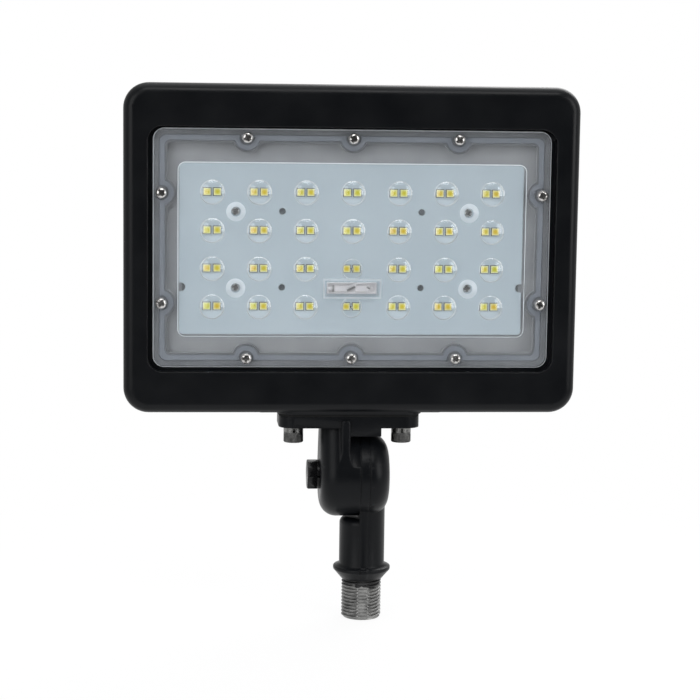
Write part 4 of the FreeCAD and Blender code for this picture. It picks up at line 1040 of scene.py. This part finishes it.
def knuckle_lower():
    """Lower half of the joint, down to the collar, with its scored drum."""
    shape = shape_of("knuckle_lower")
    bmesh.ops.bridge_loops(shape, edges=cut_off(shape, STEM_END, -1))
    shape = combine(shape, drum_score(*DRUM_GROOVE, *DRUM_GROOVE_ENDS), "DIFFERENCE")
    for turn in DRUM_MARK_TURNS:
        mark = drum_score(*DRUM_MARK, turn - DRUM_MARK_HALF, turn + DRUM_MARK_HALF, 2)
        shape = combine(shape, mark, "DIFFERENCE")
    return piece("lower_knuckle_casting", shape, "base", [knuckle_coat], ("knuckle_lower",))


def joint_ring():
    """Ring that closes the lobe's side down to the disc."""
    rim = LOBE_RADIUS - RING_GAP
    low = LOBE_FACE - RING_LIFT
    high = DISC_FACE - RING_GAP
    shape = turned([(RING_BORE, low), (rim, low), (rim, high), (RING_BORE, high), (RING_BORE, low)], 96)
    turn_about(shape, "Y", 90)
    shift(shape, 0, 0, AXIS_Z)
    return piece("lobe_joint_ring", shape, "head", [knuckle_coat], ())


def drum_score(middle, width, deep, start, end, steps=24):
    """A bar that scores the joint's drum, between two angles up from the front."""
    shape = bmesh.new()
    bmesh.ops.create_grid(shape, x_segments=1, y_segments=1, size=0.5)
    bmesh.ops.scale(shape, vec=(width * MM, 2 * deep * MM, 1), verts=shape.verts)
    shift(shape, middle, -LOBE_RADIUS, 0)
    turn_about(shape, "X", -start)
    bmesh.ops.spin(shape, geom=shape.verts[:] + shape.edges[:] + shape.faces[:], cent=(0, 0, 0),
                   axis=(-1, 0, 0), angle=math.radians(end - start), steps=steps)
    shift(shape, 0, 0, AXIS_Z)
    outward(shape)
    return shape


# Finishes
knuckle_coat = powder_coat("knuckle_powder_coat", 0.9, 0.13)[0]
cover_coat = powder_coat("cover_powder_coat", 0.35, 0.17)[0]
stainless = plain_finish("stainless_steel", ((0.5, 0.49, 0.48, 1), (0.66, 0.65, 0.64, 1)),
                         (0.16, 0.3), 1.0, fine=2600.0, coarse=300.0, strength=0.1, distance=0.02)
bolt_black = plain_finish("bolt_black_oxide", ((0.003, 0.003, 0.0035, 1), (0.007, 0.007, 0.0075, 1)),
                          (0.24, 0.36), fine=1800.0, coarse=160.0, strength=0.2, soft_edge=0.3,
                          Specular_IOR_Level=0.25)
cap_steel = plain_finish("cap_screw_steel", ((0.06, 0.06, 0.06, 1), (0.16, 0.16, 0.156, 1)),
                         (0.3, 0.5), 1.0, fine=2400.0, coarse=420.0, strength=0.25, distance=0.04)
washer_steel = plain_finish("washer_steel", ((0.13, 0.13, 0.13, 1), (0.32, 0.32, 0.31, 1)),
                            (0.22, 0.4), 1.0, fine=2400.0, coarse=300.0, strength=0.2)
seal_grey = plain_finish("gasket_grey_silicone", ((0.2, 0.216, 0.244, 1), (0.24, 0.256, 0.284, 1)),
                         (0.45, 0.6))
seal_black = plain_finish("seal_black_rubber", ((0.004, 0.004, 0.004, 1), (0.009, 0.009, 0.009, 1)),
                          (0.6, 0.75), Specular_IOR_Level=0.12)
board_white = plain_finish("board_solder_mask", ((0.48, 0.55, 0.595, 1), (0.51, 0.58, 0.625, 1)),
                           (0.3, 0.42), fine=1600.0, coarse=25.0, strength=0.08, distance=0.02)
lamp_white = plain_finish("lamp_white_resin", ((0.8, 0.8, 0.66, 1), (0.86, 0.86, 0.74, 1)), (0.35, 0.5))
# Dark finish for the lamps' sides and pads: painted shade, not the white package's own colour
painted_shade_lamp_side = plain_finish("lamp_side_painted_shade", ((0.06, 0.054, 0.047, 1), (0.1, 0.09, 0.078, 1)), (0.4, 0.55))
connector_white = plain_finish("connector_white_nylon", ((0.6, 0.585, 0.6, 1), (0.68, 0.665, 0.675, 1)),
                               (0.35, 0.5))
contact_metal = plain_finish("contact_tin", ((0.2, 0.2, 0.2, 1), (0.28, 0.28, 0.28, 1)), (0.4, 0.55))
driver_metal = plain_finish("driver_can_metal", ((0.4, 0.4, 0.4, 1), (0.5, 0.5, 0.5, 1)), (0.35, 0.5), 1.0)
pad_grey = plain_finish("thermal_pad_silicone", ((0.16, 0.165, 0.17, 1), (0.2, 0.205, 0.21, 1)),
                        (0.6, 0.75))
lead_red = plain_finish("lead_red_jacket", ((0.42, 0.012, 0.01, 1), (0.52, 0.02, 0.016, 1)), (0.35, 0.5))
lead_black = plain_finish("lead_black_jacket", ((0.008, 0.008, 0.008, 1), (0.015, 0.015, 0.015, 1)),
                          (0.35, 0.5))

# Solids that keep their shape and only get smooth faces and a finish
SMOOTHED = {
    "knuckle_upper": ("head", knuckle_coat, "casting_black"),
    "rear_cover": ("head", cover_coat, "casting_black"),
    "pivot_bolt": ("base", bolt_black, "black_steel"),
    "pivot_washer": ("base", bolt_black, "black_steel"),
    "joint_seal": ("base", seal_black, "seal_black"),
    "knuckle_gasket": ("head", seal_black, "seal_black"),
    "flange_washers": ("head", washer_steel, "dark_steel"),
    "flange_spring_washers": ("head", washer_steel, "dark_steel"),
    "led_board": ("head", board_white, "board_white"),
    "thermal_pad": ("head", pad_grey, "seal_grey"),
    "wire_grommet": ("head", seal_black, "seal_black"),
    "driver_module": ("head", driver_metal, "driver_metal"),
    "rear_cover_gasket": ("head", seal_black, "seal_black"),
    "lead_red": ("head", lead_red, "lead_red"),
    "lead_black": ("head", lead_black, "lead_black"),
}
FLAT_PLATES = ("led_board", "thermal_pad", "knuckle_gasket", "rear_cover_gasket")


def build():
    """Make every piece of the light."""
    for name, (body, material, slot) in SMOOTHED.items():
        made = piece(f"{name}_smooth", shape_of(name), body, [material], (name,))
        if name in FLAT_PLATES:
            level_flats(made)
    housing()
    lens_gasket()
    lens()
    lamps()
    connector()
    thread()
    knuckle_lower()
    joint_ring()
    screw_set("lens_pan_screws", lens_screw_places(), LENS_SCREW_LENGTH, TO_FRONT, LENS_SCREW_TURNS,
              "lens_screws")
    screw_set("board_pan_screws", board_screw_places(), BOARD_SCREW_LENGTH, TO_FRONT, BOARD_SCREW_TURNS,
              "board_screws", BOARD_SCREW_HEAD)
    driver_places = box_screw_places(DRIVER_SCREW_X, FLOOR_BACK + DRIVER_EAR, DRIVER_SCREW_Z, (1, -1))
    screw_set("driver_pan_screws", driver_places, DRIVER_SCREW_LENGTH, TO_BACK, DRIVER_SCREW_TURNS,
              "driver_screws")
    cover_places = box_screw_places(COVER_SCREW_X, COVER_BACK, COVER_SCREW_Z, (1, 0, -1))
    screw_set("cover_pan_screws", cover_places, COVER_SCREW_LENGTH, TO_BACK, COVER_SCREW_TURNS,
              "rear_cover_screws")
    flange_screws()


# Studio
FLOOR_RADIUS = 0.42
FLOOR_DROP = 0.0003
SHADOW_REACH = (0.05, 0.8 * FLOOR_RADIUS)
SHADOW_SHARE = (0.91, 1.0)
GLOSS_TURN = (-0.8, 0.1)
GLOSS_LEVEL = (0.04, 0.7)
FILL_LEVEL = 0.8
SOFTBOXES = {
    "key_softbox": ((-0.95, -1.15, 0.45), (0.95, 1.1), 7.2),
    "fill_softbox": ((1.0, -0.8, 0.45), (0.6, 0.9), 6.4),
    "top_softbox": ((0.0, 0.15, 1.3), (1.2, 1.0), 3.4),
    "front_softbox": ((0.0, -0.75, 1.15), (0.8, 0.35), 4.6),
    "back_softbox": ((0.6, 1.0, 1.2), (1.2, 1.0), 15.0),
}


def studio_floor():
    """Pale floor under the light that shows white to the camera and keeps a soft shadow."""
    shape = bmesh.new()
    bmesh.ops.create_circle(shape, cap_ends=True, segments=64, radius=FLOOR_RADIUS)
    bmesh.ops.translate(shape, vec=(0, 0, solid_box[0].z - FLOOR_DROP), verts=shape.verts)
    mesh = bpy.data.meshes.new("studio_floor")
    shape.to_mesh(mesh)
    shape.free()
    material = bpy.data.materials.new("studio_paper")
    material.use_nodes = True
    tree = material.node_tree
    tree.nodes.clear()
    paper = node(tree, "BsdfDiffuse", {"Color": PAPER})
    white = node(tree, "Emission", {"Color": WHITE, "Strength": 1.0})
    seen = seen_background(tree)
    place = node(tree, "TexCoord").outputs["Object"]
    flat = node(tree, "VectorMath", {0: place, 1: (1, 1, 0)}, operation="MULTIPLY").outputs[0]
    away = node(tree, "VectorMath", {0: flat}, operation="LENGTH").outputs["Value"]
    fade = node(tree, "MapRange", {"Value": away, "From Min": SHADOW_REACH[0], "From Max": SHADOW_REACH[1],
                                   "To Min": SHADOW_SHARE[0], "To Max": SHADOW_SHARE[1]}).outputs[0]
    share = node(tree, "Math", {0: seen, 1: fade}, operation="MULTIPLY").outputs[0]
    mix = node(tree, "MixShader", {0: share})
    tree.links.new(paper.outputs[0], mix.inputs[1])
    tree.links.new(white.outputs[0], mix.inputs[2])
    output = node(tree, "OutputMaterial")
    tree.links.new(mix.outputs[0], output.inputs["Surface"])
    mesh.materials.append(material)
    floor = bpy.data.objects.new("studio_floor", mesh)
    bpy.context.scene.collection.objects.link(floor)


def seen_background(tree):
    """One for rays from the camera, from gloss and through glass."""
    path = node(tree, "LightPath")
    gloss = node(tree, "Math", {0: path.outputs["Is Camera Ray"], 1: path.outputs["Is Glossy Ray"]},
                 operation="MAXIMUM")
    both = node(tree, "Math", {0: gloss.outputs[0], 1: path.outputs["Is Transmission Ray"]},
                operation="MAXIMUM")
    return both.outputs[0]


def studio_world():
    """White surround for the camera, dimmer where it lights the object, and dark behind the camera."""
    world = bpy.data.worlds.new("studio_surround")
    bpy.context.scene.world = world
    world.use_nodes = True
    tree = world.node_tree
    tree.nodes.clear()
    direction = node(tree, "TexCoord").outputs["Generated"]
    toward_back = node(tree, "SeparateXYZ", {0: direction}).outputs["Y"]
    gloss_level = node(tree, "MapRange", {"Value": toward_back, "From Min": GLOSS_TURN[0],
                                          "From Max": GLOSS_TURN[1], "To Min": GLOSS_LEVEL[0],
                                          "To Max": GLOSS_LEVEL[1]}).outputs[0]
    path = node(tree, "LightPath")
    fill = node(tree, "Background", {"Color": SKY, "Strength": FILL_LEVEL})
    gloss = node(tree, "Background", {"Color": WHITE, "Strength": gloss_level})
    white = node(tree, "Background", {"Color": WHITE, "Strength": 1.0})
    shine = node(tree, "Math", {0: path.outputs["Is Glossy Ray"], 1: path.outputs["Is Transmission Ray"]},
                 operation="MAXIMUM").outputs[0]
    first = node(tree, "MixShader", {0: shine})
    tree.links.new(fill.outputs[0], first.inputs[1])
    tree.links.new(gloss.outputs[0], first.inputs[2])
    second = node(tree, "MixShader", {0: path.outputs["Is Camera Ray"]})
    tree.links.new(first.outputs[0], second.inputs[1])
    tree.links.new(white.outputs[0], second.inputs[2])
    output = node(tree, "OutputWorld")
    tree.links.new(second.outputs[0], output.inputs["Surface"])


def softbox(name, place, aim, size, power):
    """One large soft lamp, aimed at a point."""
    lamp = bpy.data.lights.new(name, "AREA")
    lamp.shape = "RECTANGLE"
    lamp.size = size[0]
    lamp.size_y = size[1]
    lamp.energy = power
    made = bpy.data.objects.new(name, lamp)
    bpy.context.scene.collection.objects.link(made)
    made.location = place
    made.rotation_euler = (Vector(aim) - Vector(place)).to_track_quat("-Z", "Y").to_euler()


def studio_lights():
    """Soft lamps above, on both sides, in front and behind the light."""
    middle = (HEAD_X * MM, 0, HEAD_Z * MM)
    for name, (place, size, power) in SOFTBOXES.items():
        softbox(name, place, middle, size, power)


def camera():
    """Camera solved from the lamp grid in the photograph."""
    turn = (Matrix.Rotation(math.radians(CAMERA_ROLL), 3, "Y")
            @ Matrix.Rotation(math.radians(CAMERA_PITCH), 3, "X")
            @ Matrix.Rotation(math.radians(CAMERA_YAW), 3, "Z"))
    right, forward, up = turn
    data = bpy.data.cameras.new("photo_camera")
    data.lens = CAMERA_LENS
    data.sensor_width = CAMERA_SENSOR
    made = bpy.data.objects.new("photo_camera", data)
    bpy.context.scene.collection.objects.link(made)
    axes = Matrix((right, up, -forward)).transposed().to_4x4()
    made.matrix_world = Matrix.Translation(CAMERA_PLACE) @ axes
    bpy.context.scene.camera = made


build()
studio_floor()
studio_world()
studio_lights()
camera()
bpy.context.scene.view_settings.view_transform = "Standard"
